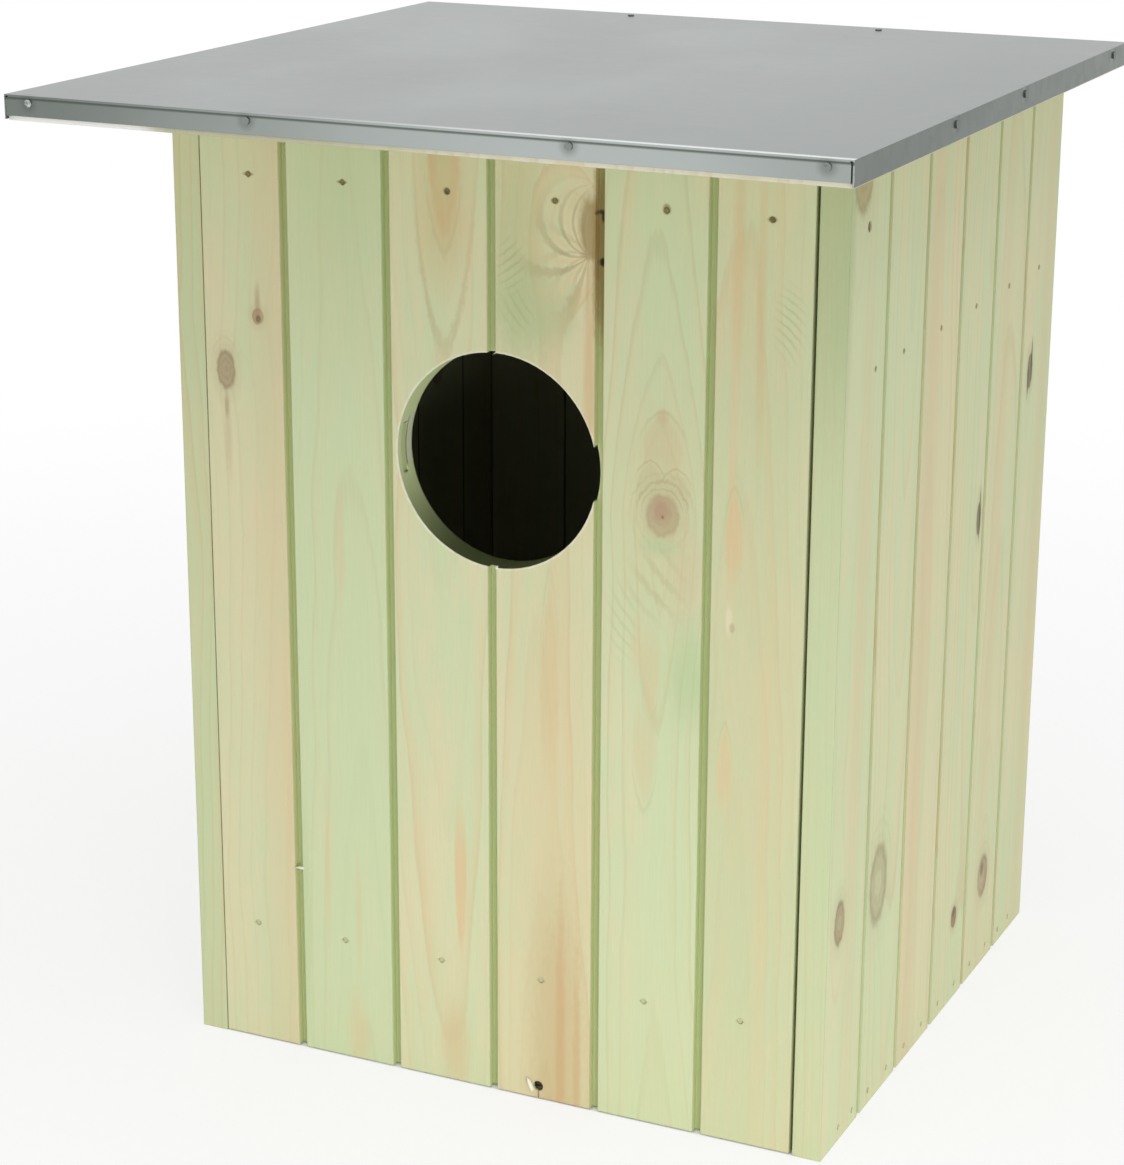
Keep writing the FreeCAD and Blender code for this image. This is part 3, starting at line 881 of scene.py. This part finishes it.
@dataclass(frozen=True)
class StudioPaper:
    """Matt white paper of the studio floor, which glows all round the box but not under it."""

    name: str = "studio_paper"
    glow: float = 0.7
    box_half_width: float = 214.5
    box_half_depth: float = 203.0
    box_middle: float = 184.5
    relief: float = 0.05

    def make(self) -> bpy.types.Material:
        """Make the floor's material.

        Returns:
            The material.
        """
        bench = Bench.of_material(self.name)
        place, across, _, along = bench.place(Side.FLOOR)
        mottle = bench.noise(place, (700.0, 700.0, 700.0), 2.0, 3.0)
        tooth = bench.noise(place, (1.6, 1.6, 1.6), 6.0, 2.0)
        colour = bench.mix(mottle, (0.985, 0.985, 0.985, 1.0), (0.965, 0.965, 0.965, 1.0))
        bump = bench.out("ShaderNodeBump", "Normal", None, {"Distance": self.relief * MM, "Height": tooth})
        paper = bench.out("ShaderNodeBsdfPrincipled", "BSDF", None,
                          {"Base Color": colour, "Roughness": 0.9, "Specular IOR Level": 0.0, "Normal": bump})
        white = bench.out("ShaderNodeEmission", "Emission", None, {"Color": WHITE, "Strength": 1.0})
        away = bench.distance(across, along).rise(500.0, 1900.0)
        past_side = bench.math("ABSOLUTE", along) - self.box_half_width
        past_front = bench.math("ABSOLUTE", across - self.box_middle) - self.box_half_depth
        open_floor = 0.1 + bench.math("MAXIMUM", past_side, past_front).rise(-1.5, 0.0) * 0.9
        glow = bench.seen() * (self.glow + away * (1.0 - self.glow)) * open_floor
        surface = bench.out("ShaderNodeMixShader", "Shader", None,
                            {"Fac": glow, "Shader": paper, "Shader_001": white})
        bench.node("ShaderNodeOutputMaterial", sockets={"Surface": surface})
        return bench.owner


def dress(node: bpy.types.Object, material: bpy.types.Material) -> None:
    """Give a node its finish.

    Args:
        node: The node's object.
        material: The finish.
    """
    node.data.materials.clear()
    node.data.materials.append(material)
    LOG.info("%s: %s", node.name, material.name)


def link_mesh(name: str, mesh: bmesh.types.BMesh) -> bpy.types.Object:
    """Turn a mesh into an object of the scene.

    Args:
        name: The object's name.
        mesh: The mesh, which is used up.

    Returns:
        The object.
    """
    data = bpy.data.meshes.new(name)
    mesh.to_mesh(data)
    mesh.free()
    made = bpy.data.objects.new(name, data)
    bpy.context.scene.collection.objects.link(made)
    return made


def blade(name: str, spine: list[Point], widths: list[float], across: Point,
          thickness: float) -> bpy.types.Object:
    """Build a sliver of wood along a bent line.

    Args:
        name: The piece's name.
        spine: Points of its middle line in millimetres of the row frame.
        widths: Its width at each point in millimetres.
        across: Direction of its width.
        thickness: Thickness at its root in millimetres.

    Returns:
        The sliver's object.
    """
    mesh = bmesh.new()
    side = Vector(across).normalized()
    rings = []
    for index, (point, width) in enumerate(zip(spine, widths)):
        after = Vector(spine[min(index + 1, len(spine) - 1)])
        before = Vector(spine[max(index - 1, 0)])
        lift = (after - before).normalized().cross(side).normalized()
        half = thickness / 2 * (1 - 0.7 * index / (len(spine) - 1))
        corners = []
        for sideways, upwards in SLIVER:
            corner = Vector(point) + side * width * sideways + lift * half * upwards
            corners.append(mesh.verts.new(corner * MM))
        rings.append(corners)
    for first, second in zip(rings[:-1], rings[1:]):
        for index in range(len(SLIVER)):
            following = (index + 1) % len(SLIVER)
            mesh.faces.new((first[index], first[following], second[following], second[index]))
    mesh.faces.new(list(reversed(rings[0])))
    mesh.faces.new(rings[-1])
    bmesh.ops.recalc_face_normals(mesh, faces=mesh.faces)
    return link_mesh(name, mesh)


def prism(name: str, outline: list[tuple[float, float]], low: float, high: float) -> bpy.types.Object:
    """Build an upright prism.

    Args:
        name: The piece's name.
        outline: Corners of its section in millimetres, seen from above.
        low: Height of its lower end in millimetres.
        high: Height of its upper end in millimetres.

    Returns:
        The prism's object.
    """
    mesh = bmesh.new()
    lower, upper = (
        [mesh.verts.new((x * MM, y * MM, level * MM)) for x, y in outline] for level in (low, high))
    mesh.faces.new(lower)
    mesh.faces.new(upper)
    for index in range(len(outline)):
        following = (index + 1) % len(outline)
        mesh.faces.new((lower[index], lower[following], upper[following], upper[index]))
    bmesh.ops.recalc_face_normals(mesh, faces=mesh.faces)
    return link_mesh(name, mesh)


@dataclass
class SwingFront:
    """The swing-out front: six boards, two battens, nails and the entrance."""

    face: float = -147.5
    edges: tuple[float, ...] = board_edges(-195.8, -137.0, 194.2)
    entrance: SawnHole = SawnHole(0.0, 406.8, 65.0)
    holed: tuple[int, ...] = (3, 4)
    nail_row: float = 563.5
    low_nail_row: float = 81.0
    low_nails: tuple[float, ...] = (-170.9, -107.3, -38.8, 29.8, 98.3, 161.1)
    sliver: float = 0.6

    def grains(self) -> list[Grain]:
        """Give the growth rings of the six boards.

        Returns:
            The rings, from left to right.
        """
        return [
            Grain(across=-120.0, depth=60.0, lean=0.012, ring=6.4, wander=3.0),
            Grain(across=-98.0, depth=30.0, lean=0.03, ring=6.0, wander=5.0),
            Grain(across=-33.0, depth=52.0, lean=-0.045, ring=5.6, wander=3.5),
            Grain(across=32.0, depth=24.0, lean=0.03, ring=5.2, wander=4.0),
            Grain(across=104.0, depth=30.0, lean=0.028, ring=5.4, wander=4.0),
            Grain(across=150.0, depth=26.0, lean=0.03, ring=5.6, wander=4.0),
        ]

    def knots(self) -> dict[int, tuple[Knot, ...]]:
        """Give the knots of each board.

        Returns:
            The knots by the board's number.
        """
        return {
            1: (Knot(-182.1, 443.2, 6.6, 12.5, KNOT_GREY, 0.85, -4.0, 13.0, 46.0),
                Knot(-158.8, 478.0, 4.0, 5.0, KNOT_BROWN, 1.0, -3.0, 9.0, 32.0)),
            4: (Knot(60.6, 549.0, 5.6, 15.0, tone(152, 136, 96), 0.6, -17.0, 30.0, 42.0, 0.0),),
            5: (Knot(106.2, 387.4, 10.4, 13.0, tone(164, 146, 114), 0.85, -20.0, 27.0, 92.0, 0.42, True),),
        }

    def marks(self) -> dict[int, tuple[Paint, ...]]:
        """Give streaks, stains and the upper nail's mark of each board.

        Returns:
            The marks by the board's number.
        """
        pink = tone(214, 196, 156)
        pitch = tone(36, 30, 16)
        nails = self.nail_row
        return {
            1: (Mark(-148.0, 330.0, 16.0, 420.0, pink, 0.5, 0.8),
                Mark(-145.5, 190.0, 2.6, 100.0, ORANGE, 0.45, 0.8),
                Mark(-182.3, 421.0, 1.4, 7.0, KNOT_BROWN, 0.5, 0.7),
                Mark(-182.0, 402.0, 2.2, 20.0, KNOT_BROWN, 0.22, 0.9),
                Mark(-158.8, 487.0, 1.7, 9.0, KNOT_BROWN, 0.5, 0.8),
                Mark(-158.6, 476.5, 1.8, 2.2, KNOT_DARK, 0.6),
                Mark(-162.9, nails, 3.3, 1.2, NAIL_DARK, 0.6)),
            2: (Mark(-103.0, 545.0, 30.0, 60.0, tone(190, 206, 160), 0.55, 0.8),
                Mark(-99.3, nails, 3.4, 1.0, NAIL_DARK, 0.75),
                Mark(-136.0, 96.0, 4.0, 70.0, tone(186, 200, 150), 0.5, 0.8),
                Mark(-99.0, 20.0, 6.0, 26.0, ORANGE, 0.5, 0.8),
                Mark(-119.0, 132.0, 2.0, 44.0, pink, 0.5, 0.8),
                Mark(-97.0, 100.0, 1.8, 34.0, pink, 0.55, 0.8),
                Mark(-105.5, 345.0, 2.6, 34.0, pink, 0.5, 0.8)),
            3: (Flame(-33.0, 604.0, 470.0, 21.0, tone(212, 190, 146), 0.2, 0.3),
                Flame(-33.0, 596.0, 527.0, 13.0, tone(204, 174, 124), 0.62, 0.25),
                Mark(-33.0, 546.0, 14.0, 30.0, tone(204, 180, 130), 0.42, 0.8),
                Mark(-32.5, 584.0, 5.5, 26.0, tone(202, 200, 152), 0.6, 0.7),
                Mark(-35.0, 448.0, 6.0, 26.0, ORANGE, 0.45, 0.7),
                Flame(-25.0, 150.0, 84.0, 5.0, tone(218, 190, 146), 0.75, 0.0),
                Mark(-29.0, 24.0, 9.0, 26.0, tone(212, 186, 142), 0.55, 0.7),
                Mark(-30.8, nails, 2.2, 2.2, NAIL_DARK, 0.75, 0.4)),
            4: (Mark(36.0, 120.0, 24.0, 230.0, tone(214, 198, 156), 0.5, 0.9),
                Mark(14.0, 524.0, 16.0, 66.0, tone(180, 190, 140), 0.55, 0.7),
                Mark(25.0, 500.0, 24.0, 22.0, tone(178, 193, 145), 0.55, 0.6),
                Ripple(10.0, 524.0, 12.0, 24.0, -26.0, 572.0, 4.6, tone(156, 176, 124), 0.4),
                Ripple(14.0, 498.0, 15.0, 18.0, 70.0, 540.0, 5.2, tone(158, 178, 126), 0.35),
                Burl(58.8, 534.0, 64.0, 574.0, 13.0, 58.0, 0.46, tone(156, 134, 86)),
                Burl(58.8, 534.0, 63.0, 462.0, 11.0, 44.0, 0.24, tone(160, 146, 100)),
                Mark(59.2, 551.0, 6.0, 17.0, tone(166, 149, 104), 0.7, 0.35),
                Mark(58.6, 534.0, 4.0, 2.6, tone(150, 132, 88), 0.5, 0.6),
                Mark(66.0, 540.0, 4.6, 56.0, RESIN, 0.8, 0.4, True),
                Mark(65.6, 530.0, 2.0, 2.6, pitch, 0.95, 0.4, True),
                Mark(64.4, 558.4, 1.8, 1.3, pitch, 0.8, 0.6, True),
                Mark(65.7, 555.6, 1.1, 3.0, tone(44, 37, 20), 0.85, 0.6, True),
                Mark(60.0, 455.0, 3.4, 60.0, tone(210, 180, 134), 0.65, 0.7),
                Flame(35.0, 262.0, 345.0, 7.0, tone(212, 190, 146), 0.55, 0.15),
                Mark(38.0, 300.0, 3.4, 120.0, ORANGE, 0.4, 0.7),
                Mark(41.0, 36.0, 17.0, 96.0, tone(196, 174, 128), 0.6, 0.7),
                Mark(43.0, 30.0, 3.0, 90.0, tone(204, 168, 122), 0.65, 0.6),
                Mark(54.0, 24.0, 2.2, 70.0, tone(204, 168, 122), 0.55, 0.7),
                Mark(28.2, 3.0, 0.5, 5.0, KNOT_DARK, 0.7, 0.5),
                Mark(37.7, nails, 2.6, 1.5, NAIL_DARK, 0.75, 0.4)),
            5: (Mark(104.0, 392.0, 25.0, 64.0, tone(208, 197, 154), 0.45, 0.7),
                Flame(105.8, 424.0, 449.0, 15.0, tone(204, 184, 144), 0.4, 0.22),
                Mark(105.4, 445.5, 3.4, 4.2, tone(198, 166, 130), 0.45, 0.7),
                Flame(98.4, 404.0, 419.0, 10.0, tone(190, 178, 134), 0.32, 0.3),
                Flame(114.6, 402.0, 416.0, 10.0, tone(190, 178, 134), 0.32, 0.3),
                Mark(106.5, 369.0, 11.0, 4.5, tone(184, 203, 156), 0.55, 0.6),
                Ripple(104.0, 346.0, 27.0, 34.0, 188.0, 428.0, 11.0, tone(172, 162, 118), 0.25),
                Ripple(82.0, 322.0, 14.0, 40.0, 150.0, 380.0, 6.0, tone(176, 188, 140), 0.3),
                Mark(103.0, 44.0, 30.0, 90.0, tone(205, 213, 170), 0.55, 0.8),
                Mark(105.4, 390.5, 5.6, 7.0, KNOT_RED, 0.6, 0.6),
                Mark(106.4, 386.5, 0.9, 1.1, KNOT_DARK, 0.5, 0.5),
                Mark(122.0, 350.0, 9.0, 25.0, tone(210, 188, 152), 0.42, 0.8),
                Mark(124.0, 293.0, 13.0, 28.0, tone(178, 199, 148), 0.55, 0.8),
                Mark(91.0, 304.0, 3.2, 18.0, tone(214, 190, 148), 0.4, 0.8),
                Flame(100.0, 300.0, 262.0, 7.0, tone(212, 190, 148), 0.42, 0.12),
                Flame(97.0, 252.0, 204.0, 9.0, tone(210, 192, 150), 0.4, 0.16),
                Mark(106.3, nails + 0.8, 2.5, 2.8, NAIL_DARK, 0.7, 0.4)),
            # Board 6's first mark makes most of the board duller and darker.
            6: (Mark(163.0, 200.0, 42.0, 300.0, tone(194, 193, 148), 0.4, 0.9),
                Mark(150.0, 540.0, 3.0, 56.0, tone(210, 184, 136), 0.5, 0.8),
                Mark(164.0, 510.0, 2.4, 80.0, tone(210, 184, 136), 0.45, 0.8),
                Mark(149.0, 430.0, 2.6, 120.0, ORANGE, 0.5, 0.7),
                Ripple(181.0, 506.0, 12.0, 30.0, 146.0, 462.0, 4.4, tone(160, 176, 122), 0.36),
                Flame(150.5, 374.0, 410.0, 6.5, tone(217, 192, 148), 0.75, 0.15),
                Flame(147.5, 232.0, 268.0, 5.5, tone(217, 194, 150), 0.65, 0.15),
                Mark(148.5, 330.0, 2.0, 8.0, tone(228, 220, 186), 0.6, 0.6),
                Mark(150.5, 326.0, 1.6, 3.0, KNOT_GREY, 0.5, 0.5),
                Mark(172.0, 190.0, 4.0, 200.0, ORANGE, 0.35, 0.8),
                Mark(169.1, nails, 2.6, 1.6, NAIL_DARK, 0.75, 0.4)),
        }

    def boards(self) -> list[TreatedPine]:
        """Give the finish of each board.

        Returns:
            The finishes, from left to right.
        """
        greens = (0.4, 0.95, 0.5, 0.3, 0.75, 0.5)
        warmths = (0.3, 0.2, 0.5, 0.75, 0.3, 0.42)
        lines = (1.0, 1.0, 0.7, 0.9, 1.5, 0.8)
        knots = self.knots()
        marks = self.marks()
        finishes = []
        for index, grain in enumerate(self.grains()):
            number = index + 1
            low_nail = Mark(self.low_nails[index], self.low_nail_row, 2.8, 0.8, NAIL_PALE, 0.6)
            finishes.append(TreatedPine(
                f"front_pine_{number}", Side.FRONT, grain, greens[index], warmths[index], number * 3.7,
                knots.get(number, ()), (*marks[number], low_nail), lined=lines[index],
                hole=self.entrance if number in self.holed else None, seams=self.edges[index:index + 2]))
        return finishes

    def dress(self, nodes: dict[str, bpy.types.Object], steel: bpy.types.Material) -> None:
        """Dress the front's nodes.

        Args:
            nodes: The nodes by name.
            steel: The finish of the nails.
        """
        for number, finish in enumerate(self.boards(), start=1):
            dress(nodes[f"front_board_{number}"], finish.make())
        for number, level in ((1, "top"), (2, "bottom")):
            grain = Grain.of_number(20.0, number + 20)
            finish = TreatedPine(f"front_{level}_batten_pine", Side.FLOOR, grain, 0.4, 0.4, 40.0 + number,
                                 sawn=1.0)
            dress(nodes[f"front_{level}_batten"], finish.make())
        dress(nodes["front_nails"], steel)

    def add_splinters(self) -> None:
        """Add the torn fibres at the lock screw, at a joint and round the entrance."""
        grain = Grain(0.0, 30.0, 0.0, 5.0)
        bare = TreatedPine("torn_fibres", Side.FRONT, grain, 0.2, 0.1, 9.0, bleached=0.85).make()
        face = self.face
        slivers = {
            "lock_splinter": (
                [(24.0, face + 0.3, 4.4), (23.5, face - 0.7, 7.6), (22.6, face - 1.6, 11.0),
                 (21.3, face - 2.0, 14.4)],
                [1.8, 3.2, 3.0, 0.6], (1.0, 0.2, 0.3)),
            "joint_splinter": (
                [(-136.0, face + 0.2, 124.6), (-139.0, face - 0.4, 125.0), (-142.8, face - 0.5, 124.2)],
                [1.8, 1.8, 0.6], (0.0, 0.0, 1.0)),
            "entrance_fibre_top": (
                [(0.6, face + 0.6, 472.6), (-0.8, face + 0.2, 471.2), (-2.4, face + 0.5, 470.4)],
                [1.8, 1.5, 0.4], (1.0, 0.0, 0.4)),
            "entrance_fibre_low": (
                [(0.7, face + 0.6, 340.6), (0.4, face - 0.2, 342.2), (1.2, face - 0.4, 343.6)],
                [2.4, 2.0, 0.5], (1.0, 0.0, 0.0)),
        }
        for name, (spine, widths, across) in slivers.items():
            made = blade(name, spine, widths, across, self.sliver)
            dress(made, bare)
            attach(made, "front")


@dataclass
class BoardWall:
    """A fixed wall, or the floor, of six boards, with the batten and nails that a wall has."""

    prefix: str
    side: Side
    edges: tuple[float, ...]
    backwards: bool = False
    greens: tuple[float, ...] = (0.55, 0.62, 0.4, 0.6, 0.62, 0.5)
    knots: dict[int, tuple[Knot, ...]] = field(default_factory=dict)
    marks: dict[int, tuple[Paint, ...]] = field(default_factory=dict)
    batten_side: Side = Side.RIGHT

    def plain_knots(self, number: int, middle: float) -> tuple[Knot, ...]:
        """Give one knot to a board that the photograph doesn't show.

        Args:
            number: The board's number.
            middle: The board's middle across its side.

        Returns:
            The knot alone.
        """
        turn = number + 7 * len(self.prefix)
        half = spread(turn + 4, 3.6, 9.0)
        knot = Knot(
            across=middle + spread(turn, -22.0, 22.0), up=spread(turn + 2, 60.0, 560.0),
            half_width=half, half_height=half * spread(turn + 1, 1.1, 1.8),
            colour=(KNOT_BROWN, KNOT_GREY, KNOT_RED)[turn % 3], strength=spread(turn + 6, 0.55, 0.95),
            pull=-7.0, pull_width=16.0, pull_height=60.0, eddy=0.12)
        return (knot,)

    def dress(self, nodes: dict[str, bpy.types.Object], steel: bpy.types.Material) -> None:
        """Dress the wall's nodes.

        Args:
            nodes: The nodes by name.
            steel: The finish of the nails.
        """
        spans = list(zip(self.edges[:-1], self.edges[1:]))
        for index, (start, end) in enumerate(spans):
            number = len(spans) - index if self.backwards else index + 1
            middle = (start + end) / 2
            turn = number + 5 * len(self.prefix)
            knots = self.knots.get(number, ()) if self.knots else self.plain_knots(number, middle)
            finish = TreatedPine(
                f"{self.prefix}_pine_{number}", self.side, Grain.of_number(middle, turn), self.greens[index],
                spread(turn, 0.35, 0.75), turn * 2.9, knots, self.marks.get(number, ()), seams=(start, end))
            dress(nodes[f"{self.prefix}_board_{number}"], finish.make())
        batten = f"{self.prefix}_batten"
        if batten in nodes:
            grain = Grain.of_number(470.0, len(self.prefix) + 30)
            finish = TreatedPine(f"{batten}_pine", self.batten_side, grain, 0.45, 0.4,
                                 60.0 + len(self.prefix), sawn=1.0)
            dress(nodes[batten], finish.make())
            dress(nodes[f"{self.prefix}_nails"], steel)


@dataclass
class Roof:
    """The roof board, the folded sheet over it and their nails."""

    fold: tuple[tuple[float, float], ...] = (
        (-254.45, -258.4), (-251.0, -257.5), (-246.0, -256.72), (-252.95, -256.72), (-252.95, -256.0),
        (-254.45, -256.0))
    fold_low: float = 606.7
    fold_high: float = 617.1

    def dress(self, nodes: dict[str, bpy.types.Object], steel: bpy.types.Material) -> None:
        """Dress the roof's nodes.

        Args:
            nodes: The nodes by name.
            steel: The finish of the nails.
        """
        sheet = GalvanisedSheet().make()
        dress(nodes["roof_board"], RoofPlywood().make())
        dress(nodes["roof_sheet"], sheet)
        dress(nodes["roof_board_nails"], steel)
        zinc = SteelFixing("zinc_sheet_nails", tone(212, 217, 214), tone(104, 110, 106), 0.3, painted_nail_shade=True)
        dress(nodes["roof_sheet_nails"], zinc.make())
        fold = prism("left_corner_fold", list(self.fold), self.fold_low, self.fold_high)
        dress(fold, GalvanisedSheet("folded_corner", easing=0.0).make())
        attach(fold, "box")


@dataclass(frozen=True)
class Softbox:
    """Soft lamp that shines from its place towards its aim: metres, watts and degrees."""

    name: str
    place: Point
    aim: Point
    size: tuple[float, float]
    power: float
    beam: float = 180.0

    def build(self) -> None:
        """Hang the lamp."""
        data = bpy.data.lights.new(self.name, "AREA")
        data.shape = "RECTANGLE"
        data.size, data.size_y = self.size
        data.energy, data.spread = self.power, math.radians(self.beam)
        lamp = bpy.data.objects.new(self.name, data)
        lamp.location = self.place
        lamp.rotation_euler = (Vector(self.aim) - Vector(self.place)).to_track_quat("-Z", "Y").to_euler()
        bpy.context.scene.collection.objects.link(lamp)
        LOG.info("%s: %.1f W", self.name, self.power)


@dataclass
class Studio:
    """White floor, soft light from all round and the camera."""

    eye: Point = (0.74561, -1.64573, 0.86033)
    azimuth: float = 25.124
    elevation: float = 17.495
    roll: float = 0.223
    lens: float = 91.60
    sensor: float = 36.0
    floor_radius: float = 14.0
    surround: float = 0.62
    softboxes: tuple[Softbox, ...] = (
        Softbox("overhead_softbox", (0.4, -0.6, 2.4), (0.4, -0.6, 0.0), (2.0, 2.0), 19.0),
        Softbox("foot_softbox", (1.4, -1.65, 0.2), (0.1, -0.2, -0.1), (1.2, 0.3), 2.3, 60.0))

    def build(self) -> None:
        """Build the floor, the light and the camera."""
        self.build_floor()
        self.build_light()
        self.build_camera()

    def build_floor(self) -> None:
        """Lay the round sheet of paper that the box stands on."""
        mesh = bmesh.new()
        bmesh.ops.create_circle(mesh, cap_ends=True, cap_tris=True, segments=96, radius=self.floor_radius)
        floor = link_mesh("studio_floor", mesh)
        dress(floor, StudioPaper().make())

    def build_light(self) -> None:
        """Light the scene from a white surround and the softboxes."""
        world = bpy.data.worlds.new("studio_light")
        bench = Bench(world)
        light, white = (
            bench.out("ShaderNodeBackground", "Background", None, {"Color": WHITE, "Strength": strength})
            for strength in (self.surround, 1.0))
        surface = bench.out("ShaderNodeMixShader", "Shader", None,
                            {"Fac": bench.seen(), "Shader": light, "Shader_001": white})
        bench.node("ShaderNodeOutputWorld", sockets={"Surface": surface})
        bpy.context.scene.world = world
        for softbox in self.softboxes:
            softbox.build()

    def build_camera(self) -> None:
        """Set the camera where the photograph was taken from."""
        angles = (self.azimuth, self.elevation, self.roll)
        azimuth, elevation, roll = (math.radians(angle) for angle in angles)
        level = math.cos(elevation)
        ahead = Vector((-math.sin(azimuth) * level, math.cos(azimuth) * level, -math.sin(elevation)))
        right = Vector((math.cos(azimuth), math.sin(azimuth), 0.0))
        above = right.cross(ahead)
        tilted = right * math.cos(roll) + above * math.sin(roll)
        upward = above * math.cos(roll) - right * math.sin(roll)
        data = bpy.data.cameras.new("camera")
        data.lens = self.lens
        data.sensor_width = self.sensor
        data.sensor_fit = "AUTO"
        data.clip_start, data.clip_end = 0.05, 100.0
        camera = bpy.data.objects.new("camera", data)
        turned = Matrix((tilted, upward, -ahead)).transposed().to_4x4()
        camera.matrix_world = Matrix.Translation(self.eye) @ turned
        bpy.context.scene.collection.objects.link(camera)
        bpy.context.scene.camera = camera


def right_wall() -> BoardWall:
    """Give the right wall with the knots and marks that the photograph shows.

    Returns:
        The wall.
    """
    knots = {
        1: (Knot(19.8, 147.0, 8.5, 14.0, KNOT_BROWN, 0.75, -6.0, 14.0, 46.0, rim=0.3, heart=0.35),
            Knot(19.0, 592.0, 16.0, 25.0, tone(170, 158, 112), 0.75, -7.0, 20.0, 50.0)),
        2: (Knot(88.0, 145.5, 15.0, 26.0, tone(172, 160, 124), 0.62, -7.0, 17.0, 60.0, rim=0.34, heart=0.6),),
        4: (Knot(260.7, 330.8, 4.4, 11.0, KNOT_DARK, 0.7, -4.0, 10.0, 50.0),
            Knot(246.9, 60.0, 5.6, 7.5, KNOT_BROWN, 1.0, -4.0, 11.0, 36.0)),
        5: (Knot(308.5, 66.3, 10.5, 15.0, KNOT_BROWN, 0.75, -7.0, 15.0, 50.0, rim=0.28, heart=0.3),),
        6: (Knot(360.0, 406.6, 5.5, 12.0, KNOT_DARK, 0.7, -5.0, 12.0, 50.0),),
    }
    pink = tone(212, 196, 156)
    nail_row = 474.5
    nails = (49.0, 97.8, 166.3, 234.8, 303.3, 369.3)
    streaks: dict[int, tuple[Paint, ...]] = {
        1: (Mark(38.0, 260.0, 10.0, 260.0, pink, 0.45, 0.8),
            Mark(0.0, 560.0, 7.0, 90.0, tone(166, 184, 136), 0.5, 0.8)),
        3: (Mark(152.0, 300.0, 14.0, 420.0, tone(214, 190, 152), 0.5, 0.8),),
        4: (Mark(262.5, 334.0, 1.3, 16.0, KNOT_DARK, 0.8, 0.5),
            Mark(246.5, 64.0, 3.0, 3.6, KNOT_DARK, 0.6, 0.5)),
        5: (Mark(300.0, 300.0, 10.0, 300.0, pink, 0.4, 0.8),
            Mark(306.5, 72.0, 3.4, 5.0, KNOT_DARK, 0.55, 0.6)),
        6: (Mark(390.0, 300.0, 9.0, 360.0, pink, 0.4, 0.8),
            Mark(363.0, 414.0, 1.4, 13.0, KNOT_DARK, 0.85, 0.5),
            Mark(356.5, 400.0, 1.5, 10.0, KNOT_DARK, 0.8, 0.5)),
    }
    marks = {number: (Mark(run, nail_row, 2.2, 1.4, NAIL_DARK, 0.45, 0.4), *streaks.get(number, ()))
             for number, run in enumerate(nails, start=1)}
    return BoardWall("right", Side.RIGHT, board_edges(0.0, COVER, SIDE_DEPTH), knots=knots, marks=marks,
                     greens=(0.62, 0.66, 0.35, 0.62, 0.5, 0.5), batten_side=Side.ROOF)


def main() -> None:
    """Load the part, dress it and set the studio."""
    logging.basicConfig(level=logging.INFO, format="%(message)s")
    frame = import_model()
    nodes = frame["nodes"]
    bpy.context.scene.view_settings.view_transform = "Standard"
    steel = SteelFixing("dulled_nails", tone(136, 126, 92), tone(100, 88, 56), 0.5, 0.4).make()
    filled = SteelFixing("filled_nails", tone(164, 152, 98), tone(118, 108, 60), 0.5, 0.2, 300.0).make()
    front = SwingFront()
    front.dress(nodes, filled)
    front.add_splinters()
    right_wall().dress(nodes, steel)
    side_edges = board_edges(0.0, COVER, SIDE_DEPTH)
    BoardWall("left", Side.LEFT, side_edges, batten_side=Side.ROOF).dress(nodes, steel)
    back_edges = board_edges(-196.5, -137.0, 196.5)
    BoardWall("back", Side.BACK, back_edges, backwards=True, batten_side=Side.FLOOR).dress(nodes, steel)
    BoardWall("floor", Side.FLOOR, board_edges(0.0, 47.75, 369.5)).dress(nodes, steel)
    Roof().dress(nodes, steel)
    for pin in ("right_pivot_pin", "left_pivot_pin"):
        dress(nodes[pin], steel)
    screw = SteelFixing("lock_screw_steel", tone(84, 80, 62), tone(46, 42, 30), 0.5).make()
    dress(nodes["lock_screw"], screw)
    Studio().build()


if __name__ == "__main__":
    main()
